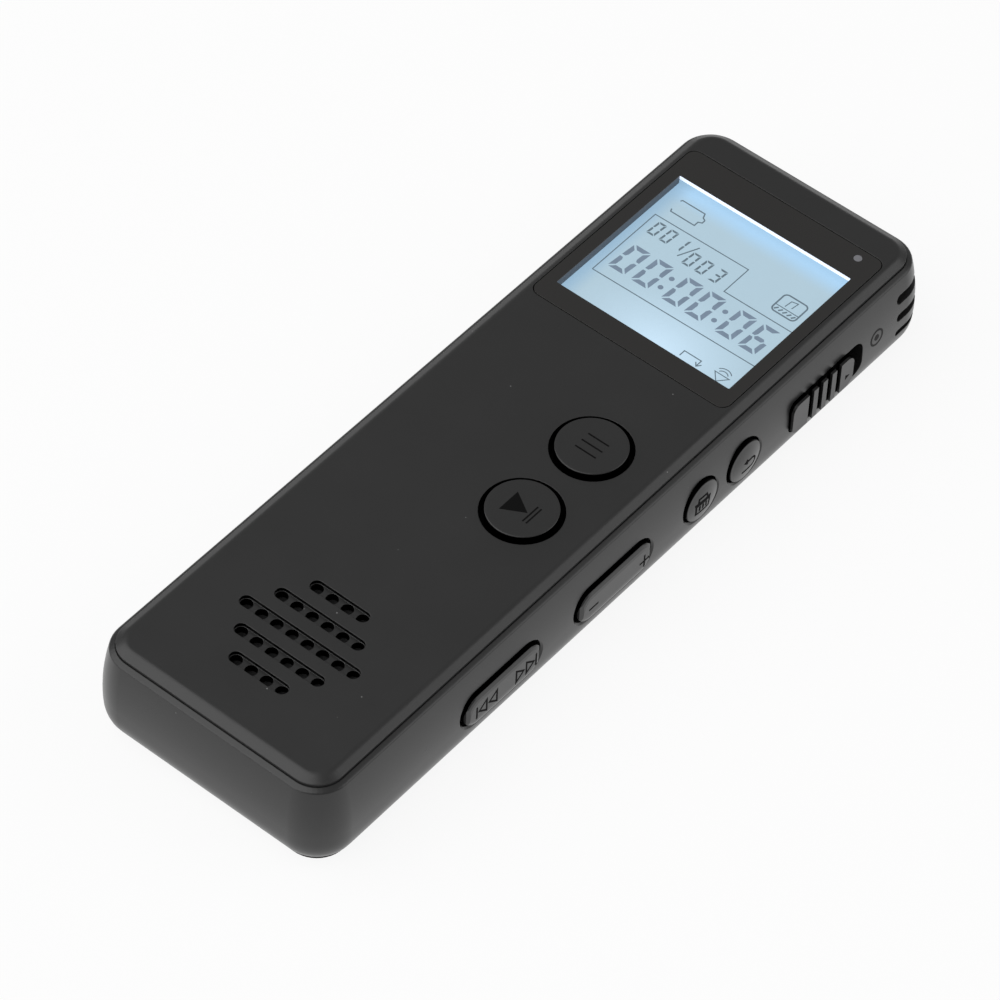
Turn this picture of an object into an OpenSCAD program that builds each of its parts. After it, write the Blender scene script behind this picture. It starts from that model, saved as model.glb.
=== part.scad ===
// Handheld voice recorder, built as separate pieces.
// Millimetres, +Z up out of the display face, +Y towards the display end, +X towards the record slider.
// The origin is the middle of the flat back.

/* [Casing] */
// width across the frame at its upper lip
body_w = 32; // [26:0.5:40]
// length of the frame at its upper lip
body_l = 105; // [96:0.5:120]
// height from the flat back to the front face
body_h = 13; // [12.4:0.1:15]
// corner radius of the frame seen from above
corner_r = 4.1; // [3:0.1:6]
// how far the frame swells out half way up
bulge = 0.85; // [0.2:0.05:1]
// how far the frame tucks in at its lower edge
tuck = 0.25; // [0:0.05:0.4]
// thickness of the frame wall at the lip
wall = 1.4; // [1:0.1:2]
// thickness of the front cover
cover_t = 1.5; // [1.2:0.1:2]
// width of the sloped rim round the front face
rim_run = 1.35; // [0.6:0.05:1.6]
// depth of the sloped rim
rim_drop = 0.6; // [0.3:0.05:0.8]
// height of the front face above the lip of the frame
rim_rise = 1.25; // [0.8:0.1:1.6]
// width of the sloped lip round the rim of the cover
groove_w = 0.65; // [0.3:0.05:1]
// height of the back plate edge that shows below the frame
base_h = 0.7; // [0.4:0.1:1]
// thickness of the back plate
back_t = 1.6; // [1.2:0.1:2.2]
// play between pieces that slot together
fit_gap = 0.06; // [0.05:0.01:0.2]

/* [Display] */
// width of the display panel
panel_w = 27.8; // [22:0.1:29]
// length of the display panel
panel_l = 29.75; // [22:0.05:33]
// corner radius of the display panel
panel_r = 1.2; // [0.6:0.1:3]
// middle of the display panel along the body
panel_y = 32.4; // [28:0.1:34]
// width of the panel's window opening
view_w = 24.7; // [18:0.1:25]
// length of the panel's window opening
view_l = 22.4; // [16:0.1:23]
// middle of the window opening along the body
view_y = 31.6; // [27:0.1:33]
// thickness of the panel's black frame
bezel_t = 0.6; // [0.4:0.1:0.7]
// thickness of the clear window
window_t = 0.4; // [0.3:0.1:0.6]
// distance from the middle line to the status light
lamp_x = 11; // [6:0.1:11.5]
// place of the status light along the body
lamp_y = 45.9; // [44:0.1:46.2]
// radius of the status light pipe
lamp_r = 0.5; // [0.3:0.05:0.7]

/* [Front buttons] */
// radius of the menu and play caps
cap_r = 4.15; // [3:0.05:4.4]
// open ring round each front cap
cap_ring = 0.65; // [0.3:0.05:0.7]
// height of the caps above the front face
cap_rise = 0.5; // [0.35:0.05:0.8]
// distance of the caps from the middle line
cap_x = 6.5; // [5:0.1:7]
// middle of the menu button along the body
menu_y = 3.5; // [2:0.1:6]
// middle of the play button along the body
play_y = -8.5; // [-12:0.1:-8]

/* [Speaker] */
// middle of the speaker grille along the body
grille_y = -37.6; // [-38.5:0.1:-36]
// distance between grille slots
slot_pitch = 3.25; // [2.6:0.05:3.6]
// distance between holes in a slot
hole_pitch = 2.145; // [1.8:0.005:2.4]
// width of a grille slot
slot_w = 1.6; // [1.2:0.05:2]
// depth of a grille slot
slot_depth = 0.5; // [0.2:0.05:0.6]
// radius of a grille hole
hole_r = 0.74; // [0.4:0.02:0.78]
// radius of the speaker basket
speaker_r = 10; // [8:0.1:10.2]

/* [Side controls] */
// height of the side buttons above the back
side_z = 6.3; // [5.4:0.05:6.4]
// radius of the delete and back buttons
side_r = 2.72; // [2:0.02:2.8]
// play round the side buttons
side_gap = 0.28; // [0.15:0.01:0.35]
// play round the rockers
rocker_gap = 0.4; // [0.3:0.01:0.45]
// how far the side buttons stand out of the frame
side_rise = 0.45; // [0.3:0.05:1]
// middle of the delete button along the body
delete_y = 10.4; // [10:0.05:12]
// middle of the back button along the body
back_y = 18.15; // [18.1:0.05:19.2]
// length of a rocker
rocker_l = 12.7; // [10:0.1:13]
// height of a rocker
rocker_h = 4.3; // [3:0.1:4.4]
// height of the rockers above the back
rocker_z = 6.1; // [5.6:0.05:6.15]
// how far the rockers stand out of the frame
rocker_rise = 0.4; // [0.3:0.05:0.9]
// middle of the volume rocker along the body
volume_y = -4.95; // [-5:0.05:-4]
// middle of the skip rocker along the body
skip_y = -24.05; // [-24.2:0.05:-22.5]
// distance from a rocker's middle to its switches
rocker_reach = 4.6; // [3:0.1:4.8]
// radius of a rocker's pivot pin
pin_r = 0.5; // [0.4:0.05:0.6]
// radial play of a rocker on its pin
pin_play = 0.06; // [0.02:0.01:0.1]

/* [Record slider] */
// length of the slot in the frame
slider_slot_l = 13.7; // [12:0.1:15]
// height of the slot in the frame
slider_slot_h = 4.9; // [3.6:0.1:5]
// length of the knob
knob_l = 11.2; // [8:0.1:11.3]
// how far the knob stands out of the frame
knob_rise = 0.45; // [0.3:0.05:0.9]
// travel of the knob
slider_travel = 2; // [0.8:0.1:2.1]
// middle of the slot along the body
slider_y = 33.2; // [33:0.05:35]
// height of the slot above the back
slider_z = 5.85; // [5:0.05:6.3]

/* [Inside] */
// thickness of the circuit board
board_t = 1; // [0.8:0.1:1.2]
// thickness of the battery pouch
cell_t = 4.4; // [3:0.1:4.5]
// width of the battery pouch
cell_w = 20.5; // [14:0.1:21]
// length of the battery pouch
cell_l = 46; // [30:0.5:47]
// radius of the earphone socket
socket_r = 1.8; // [1.75:0.01:1.85]
// depth of the earphone socket
socket_l = 14; // [12:0.1:14.2]
// radius of a microphone capsule
mic_r = 2; // [1.5:0.05:2.1]

/* [Hidden] */
$fn = 48;
eps = 0.01;
half_w = body_w / 2;
half_l = body_l / 2;
lip_z = body_h - rim_rise;
shelf_z = body_h - cover_t;
lip_out = 0;
lip_round = 0.2;
inner_w = half_w - wall;
inner_l = half_l - wall - 0.1;
inner_r = corner_r - 1.5;
// the frame wall swells out to its widest at swell_z and falls away above and below it
swell_z = 5;
wall_bands = 20;
function swell(z) = z > swell_z
    ? bulge - (bulge - lip_out) * pow((z - swell_z) / (lip_z - swell_z), 1.9)
    : bulge - (bulge + tuck) * pow((swell_z - z) / (swell_z - base_h), 3.5);
wall_edge = [for (i = [0:wall_bands])
    let (z = base_h + (lip_z - lip_round - base_h) * i / wall_bands)
        [z, swell(z)]];
// the lip bends over and slopes up towards the cover, and is cut off at the cover's recess
lip_slope = 0.43;
lip_in = groove_w + 0.1;
function bend(a, b, c, t) = (1 - t) * (1 - t) * a + 2 * t * (1 - t) * b + t * t * c;
lip_edge = [for (t = [0.25:0.25:1])
    bend([lip_z - lip_round, swell(lip_z - lip_round)], [lip_z, lip_out],
        [lip_z + lip_round * lip_slope, lip_out - lip_round], t)];
frame_edge = concat(wall_edge, lip_edge, [[lip_z + lip_in * lip_slope, lip_out - lip_in]]);
wall_x = half_w + bulge;
hole_ease = 0.25;
// the front cover's outline at its sloped rim
cover_w = half_w + lip_out - groove_w - fit_gap;
cover_l = half_l + lip_out - groove_w - fit_gap;
cover_r = corner_r + lip_out - groove_w - fit_gap;
// the rim slopes up from its outer end and bends over into the front face
rim_bend = 0.35;
rim_foot = [body_h - rim_drop, 0];
rim_top = [body_h, rim_bend - rim_run];
rim_start = rim_top + (rim_foot - rim_top) * rim_bend / norm(rim_foot - rim_top);
rim_edge = [for (t = [0:0.2:1]) bend(rim_start, rim_top, [body_h, -rim_run], t)];
cover_edge = concat([[shelf_z, 0], rim_foot], rim_edge);
skirt_h = 1.5;
skirt_t = 0.9;
// the display stack, from the front face down
panel_gap = 0.12;
window_z = body_h - bezel_t - window_t;
glass_t = 1.6;
glass_z = window_z - 0.1 - glass_t;
guide_t = 1.4;
guide_z = glass_z - guide_t;
glass_w = 25.6;
glass_l = 25.4;
board_top = guide_z - 0.5;
board_z = board_top - board_t;
board_x = 12;
// switches
switch_w = 4;
plunger_r = 0.9;
side_plunger_r = 0.7;
plunger_play = 0.06;
front_switch_h = 1.5;
plunger_tip_z = board_top + front_switch_h + 0.4;
side_tip_x = board_x + 1;
side_switch_l = 3;
press_gap = 0.25;
flange_t = 0.7;
cap_flange = 1.25;
pin_x = side_tip_x - 0.05;
rocker_back_x = side_tip_x + press_gap + 0.35;
rocker_flange_x = inner_w - 0.4;
// the rocker's lug between two ears of the frame
rocker_flange = 0.65;
lug_h = rocker_h + 2 * rocker_flange;
ear_h = 0.8;
ear_gap = 0.1;
// fasteners
screw_r = 0.75;
screw_head_r = 1.45;
board_screw_r = 0.5;
boss_r = 1.8;
boss_x_near = 12.2;
boss_y_near = -half_l + 4.2;
boss_x_far = 9.2;
boss_y_far = half_l - 3.6;
post_r = 1.4;
post_spots = [[-11.8, -22.5], [-11.8, 12], [10.2, -23.6]];
boss_spots = [[-boss_x_near, boss_y_near], [boss_x_near, boss_y_near],
    [-boss_x_far, boss_y_far], [boss_x_far, boss_y_far]];
// record slider, at rest at the near end of its slot
knob_y = slider_y - slider_slot_l / 2 + knob_l / 2 + 0.2;
knob_h = slider_slot_h - 0.4;
plate_l = slider_slot_l + slider_travel + 0.6;
lever_w = 1.5;
// microphones
mic_y = half_l - 5.2;
mic_z = 4.8;
mic_slot_z = [9.05, 6.35, 3.9];
mic_slot_h = [1.35, 1.2, 0.85];
mic_slot_start = half_l - 6;
mic_slot_x = 11.6;
boot_t = 0.5;
// ports
socket_half_h = 2.6;
socket_z = board_z - socket_half_h;
nozzle_r = 2.9;
socket_out = half_l + bulge * 0.8;
usb_y = 30;
usb_w = 8.94;
usb_h = 3.16;
usb_z = board_z - usb_h / 2;
usb_in = 7.3;
usb_out = half_w + bulge * 0.75;
// speaker stack, from the front cover down
cloth_t = 0.15;
gasket_t = 0.45;
basket_h = 3.4;
magnet_h = 1.9;
magnet_r = speaker_r - 4;
basket_z = shelf_z - cloth_t - gasket_t - basket_h;
slot_units = [4, 6, 8, 6, 4];
// battery
cell_x = -3.5;
cell_y = -2;
foam_t = 0.3;
cell_z = back_t + foam_t;
// wire paths, laid out by hand
wire_r = 0.35;
fine_wire_r = 0.22;
cell_end = cell_y + cell_l / 2;
battery_red = [[-6, cell_end, 4.2], [-6, cell_end + 1.5, 4.2], [-5.8, cell_end + 2.6, 4.8],
    [-5.6, cell_end + 3, 6], [-5.6, cell_end + 3, board_z]];
battery_black = [[-4, cell_end, 4.2], [-4, cell_end + 1.2, 4.2], [-3.8, cell_end + 2, 4.7],
    [-3.6, cell_end + 2.4, 5.8], [-3.6, cell_end + 2.4, board_z]];
lead_z = basket_z + 0.8;
speaker_red = [[-5.2, grille_y + 9.3, lead_z], [-5.6, grille_y + 10.4, lead_z],
    [-6, grille_y + 11.2, lead_z + 0.75], [-6.2, grille_y + 12.1, board_top + 0.55]];
speaker_black = [[-7, grille_y + 8, lead_z], [-7.6, grille_y + 9.4, lead_z],
    [-8.2, grille_y + 11, lead_z + 0.7], [-8.4, grille_y + 12.1, board_top + 0.55]];
mic_back_x = inner_w - 2.3;
mic_wire_a = [[mic_back_x, mic_y + 0.7, mic_z], [mic_back_x - 0.6, mic_y + 0.7, mic_z],
    [mic_back_x - 1.1, mic_y + 0.3, mic_z + 0.8], [mic_back_x - 1.2, mic_y, board_z - 0.05]];
mic_wire_b = [[mic_back_x, mic_y - 0.7, mic_z], [mic_back_x - 0.6, mic_y - 0.7, mic_z],
    [mic_back_x - 1.1, mic_y - 1.1, mic_z + 0.8], [mic_back_x - 1.2, mic_y - 1.4, board_z - 0.05]];

// A rounded block whose sides follow edge = [[height, outward offset], ...].
module pillow(hw, hl, r, edge) {
    n = len(edge);
    side = [for (i = [0:n - 1]) [hw + edge[i][1], edge[i][0]]];
    back = [for (i = [0:n - 1]) [-hw - edge[n - 1 - i][1], edge[n - 1 - i][0]]];
    end_a = [for (i = [0:n - 1]) [hl + edge[i][1], edge[i][0]]];
    end_b = [for (i = [0:n - 1]) [-hl - edge[n - 1 - i][1], edge[n - 1 - i][0]]];
    turn = [for (i = [0:n - 1]) [r + edge[i][1], edge[i][0]]];
    rotate([90, 0, 0])
        linear_extrude(height = 2 * (hl - r), center = true)
            polygon(concat(side, back));
    rotate([90, 0, 90])
        linear_extrude(height = 2 * (hw - r), center = true)
            polygon(concat(end_a, end_b));
    for (corner = [[1, 1, 0], [-1, 1, 90], [-1, -1, 180], [1, -1, 270]])
        translate([corner[0] * (hw - r), corner[1] * (hl - r), 0])
            rotate([0, 0, corner[2]])
                rotate_extrude(angle = 90)
                    polygon(concat([[0, edge[0][0]]], turn, [[0, edge[n - 1][0]]]));
}

// A flat rounded block between two heights.
module slab(w, l, r, z0, z1) {
    pillow(w / 2, l / 2, r, [[z0, 0], [z1, 0]]);
}

// An oblong along Y whose edge follows edge = [[distance along X, radius], ...]; round where l is twice the radius.
module oblong(l, edge) {
    n = len(edge);
    r = edge[0][1];
    straight = l / 2 - r;
    ends = straight > 0 ? [-straight, straight] : [0];
    side = [for (i = [0:n - 1]) [edge[i][1], edge[i][0]]];
    other = [for (i = [0:n - 1]) [-edge[n - 1 - i][1], edge[n - 1 - i][0]]];
    if (straight > 0)
        rotate([0, 90, 0])
            rotate([90, 0, 0])
                linear_extrude(height = 2 * straight, center = true)
                    polygon(concat(side, other));
    for (y = ends)
        translate([0, y, 0])
            rotate([0, 90, 0])
                rotate_extrude()
                    polygon(concat([[0, edge[0][0]]], side, [[0, edge[n - 1][0]]]));
}

// A round bar along X.
module bar_x(r, x0, x1) {
    translate([x0, 0, 0])
        rotate([0, 90, 0])
            cylinder(r = r, h = x1 - x0);
}

// A box from its low corner to its high corner.
module block(a, b) {
    translate(a)
        cube([b[0] - a[0], b[1] - a[1], b[2] - a[2]]);
}

// A hole through the side wall with an eased mouth, as a cutter.
module side_hole(l, r) {
    oblong(l, [[inner_w - 0.1, r], [wall_x - hole_ease, r], [wall_x + hole_ease, r + 2 * hole_ease],
        [wall_x + 1, r + 2 * hole_ease]]);
}

// A block along Y, from x0 to x1, with corners of radius near at its -Y end and of radius far at its +Y end.
module tab(l, h, near, far, x0, x1) {
    for (end = [[-1, near], [1, far]])
        for (s = [-1, 1])
            translate([0, end[0] * (l / 2 - end[1]), s * (h / 2 - end[1])])
                bar_x(end[1], x0, x1);
    block([x0, near - l / 2, -h / 2], [x1, l / 2 - far, h / 2]);
    block([x0, -l / 2, near - h / 2], [x1, 0, h / 2 - near]);
    block([x0, 0, far - h / 2], [x1, l / 2, h / 2 - far]);
}

// A wire of radius r swept through the points of path with eight sides; aside points away from its plane.
module wire(path, r, aside) {
    sides = 8;
    n = len(path);
    function along(i) = path[min(i + 1, n - 1)] - path[max(i - 1, 0)];
    function unit(v) = v / norm(v);
    function across(i) = unit(cross(along(i), aside));
    function upward(i) = unit(cross(across(i), along(i)));
    rings = [for (i = [0:n - 1]) for (k = [0:sides - 1])
        path[i] + r * cos(360 * k / sides) * across(i) + r * sin(360 * k / sides) * upward(i)];
    skin = [for (i = [0:n - 2]) for (k = [0:sides - 1])
        [i * sides + k, i * sides + (k + 1) % sides, (i + 1) * sides + (k + 1) % sides,
            (i + 1) * sides + k]];
    first = [for (k = [0:sides - 1]) sides - 1 - k];
    last = [for (k = [0:sides - 1]) (n - 1) * sides + k];
    polyhedron(points = rings, faces = concat([first], skin, [last]), convexity = 4);
}

// The five grille slots with their holes, as a cutter.
module grille_cut() {
    for (row = [0:4]) {
        units = slot_units[row];
        reach = (units - 1) * hole_pitch / 2;
        y = grille_y + (2 - row) * slot_pitch;
        translate([0, y, 0])
            rotate([0, 0, 90])
                slab(slot_w, 2 * reach + slot_w, slot_w / 2 - 0.005, body_h - slot_depth, body_h + 1);
        for (k = [0:units - 1])
            translate([k * hole_pitch - reach, y, shelf_z - 1])
                cylinder(r = hole_r, h = cover_t + 1.5);
    }
}

module front_cover() {
    opening_w = glass_w + 0.4;
    opening_l = glass_l + 0.4;
    color([0.13, 0.13, 0.135])
        difference() {
            union() {
                pillow(cover_w, cover_l, cover_r, cover_edge);
                difference() {
                    slab(2 * (inner_w - fit_gap), 2 * (inner_l - fit_gap), inner_r - fit_gap,
                        shelf_z - skirt_h, shelf_z + 0.1);
                    slab(2 * (inner_w - fit_gap - skirt_t), 2 * (inner_l - fit_gap - skirt_t), inner_r - skirt_t + 0.1,
                        shelf_z - skirt_h - 1, shelf_z);
                }
                for (p = boss_spots)
                    translate([p[0], p[1], back_t])
                        cylinder(r = boss_r, h = shelf_z - back_t + 0.1);
                for (p = post_spots)
                    translate([p[0], p[1], board_top])
                        cylinder(r = post_r, h = shelf_z - board_top + 0.1);
            }
            translate([0, panel_y, 0])
                slab(panel_w + 2 * panel_gap, panel_l + 2 * panel_gap, panel_r + panel_gap, window_z, body_h + 1);
            translate([0, view_y, 0])
                slab(opening_w, opening_l, 0.8, shelf_z - 1, window_z + 1);
            translate([lamp_x, lamp_y, shelf_z - 1])
                cylinder(r = lamp_r + fit_gap, h = cover_t);
            for (y = [menu_y, play_y])
                translate([cap_x, y, shelf_z - 1])
                    cylinder(r = cap_r + cap_ring, h = cover_t + 2);
            grille_cut();
            for (p = boss_spots)
                translate([p[0], p[1], back_t - 1])
                    cylinder(r = screw_r + 0.05, h = 6.5);
            for (p = post_spots)
                translate([p[0], p[1], board_top - 1])
                    cylinder(r = board_screw_r + 0.05, h = 3);
        }
}

// One slot before a microphone, round the corner of the frame, as a cutter.
module mic_slot(h) {
    y = mic_slot_start + h / 2;
    block([mic_slot_x, y, -h / 2], [half_w + 2, half_l + 2, h / 2]);
    translate([0, y, 0])
        bar_x(h / 2, mic_slot_x, half_w + 2);
}

module side_frame() {
    color([0.1, 0.1, 0.105])
        difference() {
            union() {
                difference() {
                    pillow(half_w, half_l, corner_r, frame_edge);
                    slab(2 * inner_w, 2 * inner_l, inner_r, 0, body_h);
                    slab(2 * (cover_w + fit_gap), 2 * (cover_l + fit_gap), cover_r + fit_gap,
                        shelf_z, body_h);
                }
                for (y = [volume_y, skip_y])
                    for (s = [-1, 1])
                        translate([0, y, rocker_z + s * (lug_h / 2 + ear_gap + ear_h / 2)])
                            block([board_x + 0.1, -1.2, -ear_h / 2], [inner_w + 0.1, 1.2, ear_h / 2]);
            }
            for (y = [volume_y, skip_y])
                translate([pin_x, y, rocker_z])
                    cylinder(r = pin_r + 0.01, h = 20, center = true);
            for (y = [volume_y, skip_y])
                translate([0, y, rocker_z])
                    side_hole(rocker_l + 2 * rocker_gap, rocker_h / 2 + rocker_gap);
            for (y = [delete_y, back_y])
                translate([0, y, side_z])
                    side_hole(2 * (side_r + side_gap), side_r + side_gap);
            translate([0, slider_y, slider_z])
                tab(slider_slot_l, slider_slot_h, 1.3, 1.5, inner_w - 0.1, wall_x + 1);
            for (s = [0, 1])
                mirror([s, 0, 0])
                    for (k = [0:2])
                        translate([0, 0, mic_slot_z[k]])
                            mic_slot(mic_slot_h[k]);
            translate([0, half_l + 2, socket_z])
                rotate([90, 0, 0])
                    cylinder(r = nozzle_r + fit_gap, h = 4);
            translate([-half_w - 1, usb_y, usb_z])
                oblong(usb_w + 0.5, [[-1, usb_h / 2 + 0.25], [5, usb_h / 2 + 0.25]]);
        }
}

module back_cover() {
    color([0.07, 0.07, 0.075])
        difference() {
            union() {
                pillow(half_w - tuck - 0.15, half_l - tuck - 0.15, corner_r - tuck - 0.15,
                    [[0, -0.25], [0.25, 0], [base_h, 0]]);
                slab(2 * (inner_w - fit_gap), 2 * (inner_l - fit_gap), inner_r - fit_gap, base_h - 0.1, back_t);
            }
            for (p = boss_spots)
                translate([p[0], p[1], 0]) {
                    translate([0, 0, -1])
                        cylinder(r = screw_r + fit_gap, h = back_t + 2);
                    translate([0, 0, -1])
                        cylinder(r = screw_head_r + 0.15, h = 2);
                }
        }
}

module cover_screws() {
    color([0.5, 0.5, 0.52])
        for (p = boss_spots)
            translate([p[0], p[1], 0])
                difference() {
                    union() {
                        translate([0, 0, 0.25])
                            cylinder(r = screw_head_r, h = 0.75);
                        cylinder(r = screw_r, h = 6.2);
                    }
                    translate([0, 0, -1])
                        cylinder(r = screw_head_r + eps, h = 1.25);
                    for (a = [0, 90])
                        rotate([0, 0, a])
                            block([-0.85, -0.14, 0.2], [0.85, 0.14, 0.65]);
                }
}

module display_bezel() {
    color([0.04, 0.04, 0.045])
        difference() {
            translate([0, panel_y, 0])
                slab(panel_w, panel_l, panel_r, body_h - bezel_t, body_h);
            translate([0, view_y, 0])
                slab(view_w, view_l, 0.15, body_h - bezel_t - 1, body_h + 1);
            translate([lamp_x, lamp_y, body_h - 2])
                cylinder(r = lamp_r + 0.02, h = 3);
        }
}

module display_window() {
    color([0.75, 0.85, 0.9, 0.35])
        difference() {
            translate([0, panel_y, 0])
                slab(panel_w, panel_l, panel_r, window_z, window_z + window_t);
            translate([lamp_x, lamp_y, window_z - 1])
                cylinder(r = lamp_r + fit_gap, h = 3);
        }
}

module light_pipe() {
    color([0.85, 0.85, 0.85, 0.6])
        translate([lamp_x, lamp_y, 0]) {
            translate([0, 0, board_top + 0.75])
                cylinder(r = lamp_r, h = body_h - 0.02 - board_top - 0.75);
            translate([0, 0, shelf_z - 0.5])
                cylinder(r = lamp_r + 0.35, h = 0.5);
        }
}

module lcd_glass() {
    shelf = 1.2;
    color([0.62, 0.75, 0.82])
        translate([0, view_y, 0]) {
            block([-glass_w / 2, -glass_l / 2, glass_z], [glass_w / 2, glass_l / 2, glass_z + glass_t / 2]);
            block([-glass_w / 2, -glass_l / 2 + shelf, glass_z + glass_t / 2],
                [glass_w / 2, glass_l / 2, glass_z + glass_t]);
        }
}

module lcd_light_guide() {
    color([0.9, 0.94, 0.98])
        translate([0, view_y, 0])
            block([-glass_w / 2, -glass_l / 2, guide_z], [glass_w / 2, glass_l / 2, glass_z]);
}

module lcd_holder() {
    outer_w = 2 * (inner_w - fit_gap - skirt_t) - 0.2;
    outer_l = glass_l + 1.6;
    color([0.9, 0.9, 0.9])
        translate([0, view_y, 0])
            difference() {
                slab(outer_w, outer_l, 0.8, board_top, glass_z + 0.3);
                block([-glass_w / 2 - 0.05, -glass_l / 2 - 0.05, guide_z],
                    [glass_w / 2 + 0.05, glass_l / 2 + 0.05, glass_z + 1]);
                block([-10, -outer_l, guide_z - 0.1], [10, -glass_l / 2 + 2, glass_z + 1]);
            }
}

module lcd_ribbon() {
    t = 0.12;
    edge_y = view_y - glass_l / 2;
    top_z = glass_z + glass_t / 2;
    path = [[edge_y + 1, top_z], [edge_y + 1, top_z + t], [edge_y - 1, top_z + t], [edge_y - 1.5, top_z - 0.4],
        [edge_y - 1.5, board_top + 1.2], [edge_y - 2.2, board_top + 0.7], [edge_y - 3, board_top + 0.7],
        [edge_y - 3, board_top + 0.7 - t], [edge_y - 2.1, board_top + 0.7 - t],
        [edge_y - 1.5 + t, board_top + 1.1], [edge_y - 1.5 + t, top_z - 0.45], [edge_y - 1 + 0.05, top_z]];
    color([0.75, 0.45, 0.12])
        rotate([90, 0, 90])
            linear_extrude(height = 16, center = true)
                polygon(path);
}

module front_cap() {
    color([0.12, 0.12, 0.125]) {
        rotate_extrude()
            polygon([[0, shelf_z - 0.1], [cap_r, shelf_z - 0.1], [cap_r, body_h + cap_rise - 0.3],
                [cap_r - 0.08, body_h + cap_rise - 0.1], [cap_r - 0.3, body_h + cap_rise],
                [0, body_h + cap_rise]]);
        translate([0, 0, shelf_z - flange_t])
            cylinder(r = cap_r + cap_flange, h = flange_t);
        translate([0, 0, plunger_tip_z])
            cylinder(r = 1.5, h = shelf_z - flange_t - plunger_tip_z + 0.1);
    }
}

module menu_button() {
    translate([cap_x, menu_y, 0])
        front_cap();
}

module play_button() {
    translate([cap_x, play_y, 0])
        front_cap();
}

module front_plunger() {
    color([0.2, 0.2, 0.2])
        translate([0, 0, board_top + 0.8])
            cylinder(r = plunger_r, h = plunger_tip_z - board_top - 0.8);
}

module menu_plunger() {
    translate([cap_x, menu_y, 0])
        front_plunger();
}

module play_plunger() {
    translate([cap_x, play_y, 0])
        front_plunger();
}

module front_switches() {
    color([0.72, 0.72, 0.7])
        for (y = [menu_y, play_y])
            translate([cap_x, y, 0])
                difference() {
                    block([-2.25, -2.25, board_top], [2.25, 2.25, board_top + front_switch_h]);
                    translate([0, 0, board_top + 0.4])
                        cylinder(r = plunger_r + plunger_play, h = 3);
                }
}

module side_cap() {
    tip_x = wall_x + side_rise;
    crown = 0.3;
    dome_r = side_r - 0.15;
    dome = [for (k = [6:-1:0]) [dome_r * k / 6, tip_x - crown * pow(k / 6, 2)]];
    color([0.11, 0.11, 0.115]) {
        rotate([0, 90, 0])
            rotate_extrude()
                polygon(concat([[0, inner_w - 0.1], [side_r, inner_w - 0.1], [side_r, tip_x - crown - 0.15]], dome));
        bar_x(side_r + 0.65, inner_w - flange_t, inner_w);
        bar_x(1.2, side_tip_x, inner_w - flange_t + 0.1);
    }
}

module delete_button() {
    translate([0, delete_y, side_z])
        side_cap();
}

module back_button() {
    translate([0, back_y, side_z])
        side_cap();
}

module side_plunger() {
    color([0.2, 0.2, 0.2])
        bar_x(side_plunger_r, side_tip_x - 1.6, side_tip_x);
}

module delete_plunger() {
    translate([0, delete_y, side_z])
        side_plunger();
}

module back_plunger() {
    translate([0, back_y, side_z])
        side_plunger();
}

module side_switches() {
    switch_h = 2 * (board_z - side_z);
    rocker_switch_h = 2 * (board_z - rocker_z);
    color([0.72, 0.72, 0.7]) {
        for (y = [delete_y, back_y])
            translate([0, y, side_z])
                difference() {
                    block([board_x - side_switch_l, -switch_w / 2, -switch_h / 2],
                        [board_x, switch_w / 2, switch_h / 2]);
                    bar_x(side_plunger_r + plunger_play, side_tip_x - 2.1, side_tip_x);
                }
        for (y = [volume_y, skip_y])
            for (s = [-1, 1])
                translate([0, y + s * rocker_reach, rocker_z]) {
                    block([board_x - side_switch_l, -switch_w / 2, -rocker_switch_h / 2],
                        [board_x, switch_w / 2, rocker_switch_h / 2]);
                    bar_x(side_plunger_r, board_x - 0.1, side_tip_x);
                }
    }
}

module rocker_key() {
    tip_x = wall_x + rocker_rise;
    r = rocker_h / 2;
    reach = rocker_l / 2 - 0.05;
    ease = 0.25;
    drop = 0.4;
    run = 0.7;
    color([0.11, 0.11, 0.115])
        difference() {
            union() {
                intersection() {
                    oblong(rocker_l, [[rocker_back_x + 0.1, r], [tip_x - ease, r], [tip_x - ease * 0.55, r - 0.1],
                        [tip_x - ease * 0.15, r - 0.45], [tip_x, r - 0.9]]);
                    linear_extrude(height = rocker_h + 1, center = true)
                        polygon([[rocker_back_x, -reach - 1], [tip_x - drop, -reach],
                            [tip_x + drop, 2 * run - reach], [tip_x + drop, reach - 2 * run],
                            [tip_x - drop, reach], [rocker_back_x, reach + 1]]);
                }
                oblong(rocker_l + 2 * rocker_flange,
                    [[rocker_back_x, r + rocker_flange], [rocker_flange_x, r + rocker_flange]]);
                block([board_x + 0.2, -1.1, -lug_h / 2], [rocker_back_x + 0.1, 1.1, lug_h / 2]);
                for (s = [-1, 1])
                    block([side_tip_x + press_gap, s * rocker_reach - 0.8, -1],
                        [rocker_back_x + 0.1, s * rocker_reach + 0.8, 1]);
            }
            translate([pin_x, 0, 0])
                cylinder(r = pin_r + pin_play, h = 20, center = true);
        }
}

module volume_rocker() {
    translate([0, volume_y, rocker_z])
        rocker_key();
}

module skip_rocker() {
    translate([0, skip_y, rocker_z])
        rocker_key();
}

module rocker_pins() {
    pin_l = lug_h + 2 * ear_gap + 2 * ear_h;
    color([0.7, 0.7, 0.72])
        for (y = [volume_y, skip_y])
            translate([pin_x, y, rocker_z])
                cylinder(r = pin_r, h = pin_l, center = true);
}

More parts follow.
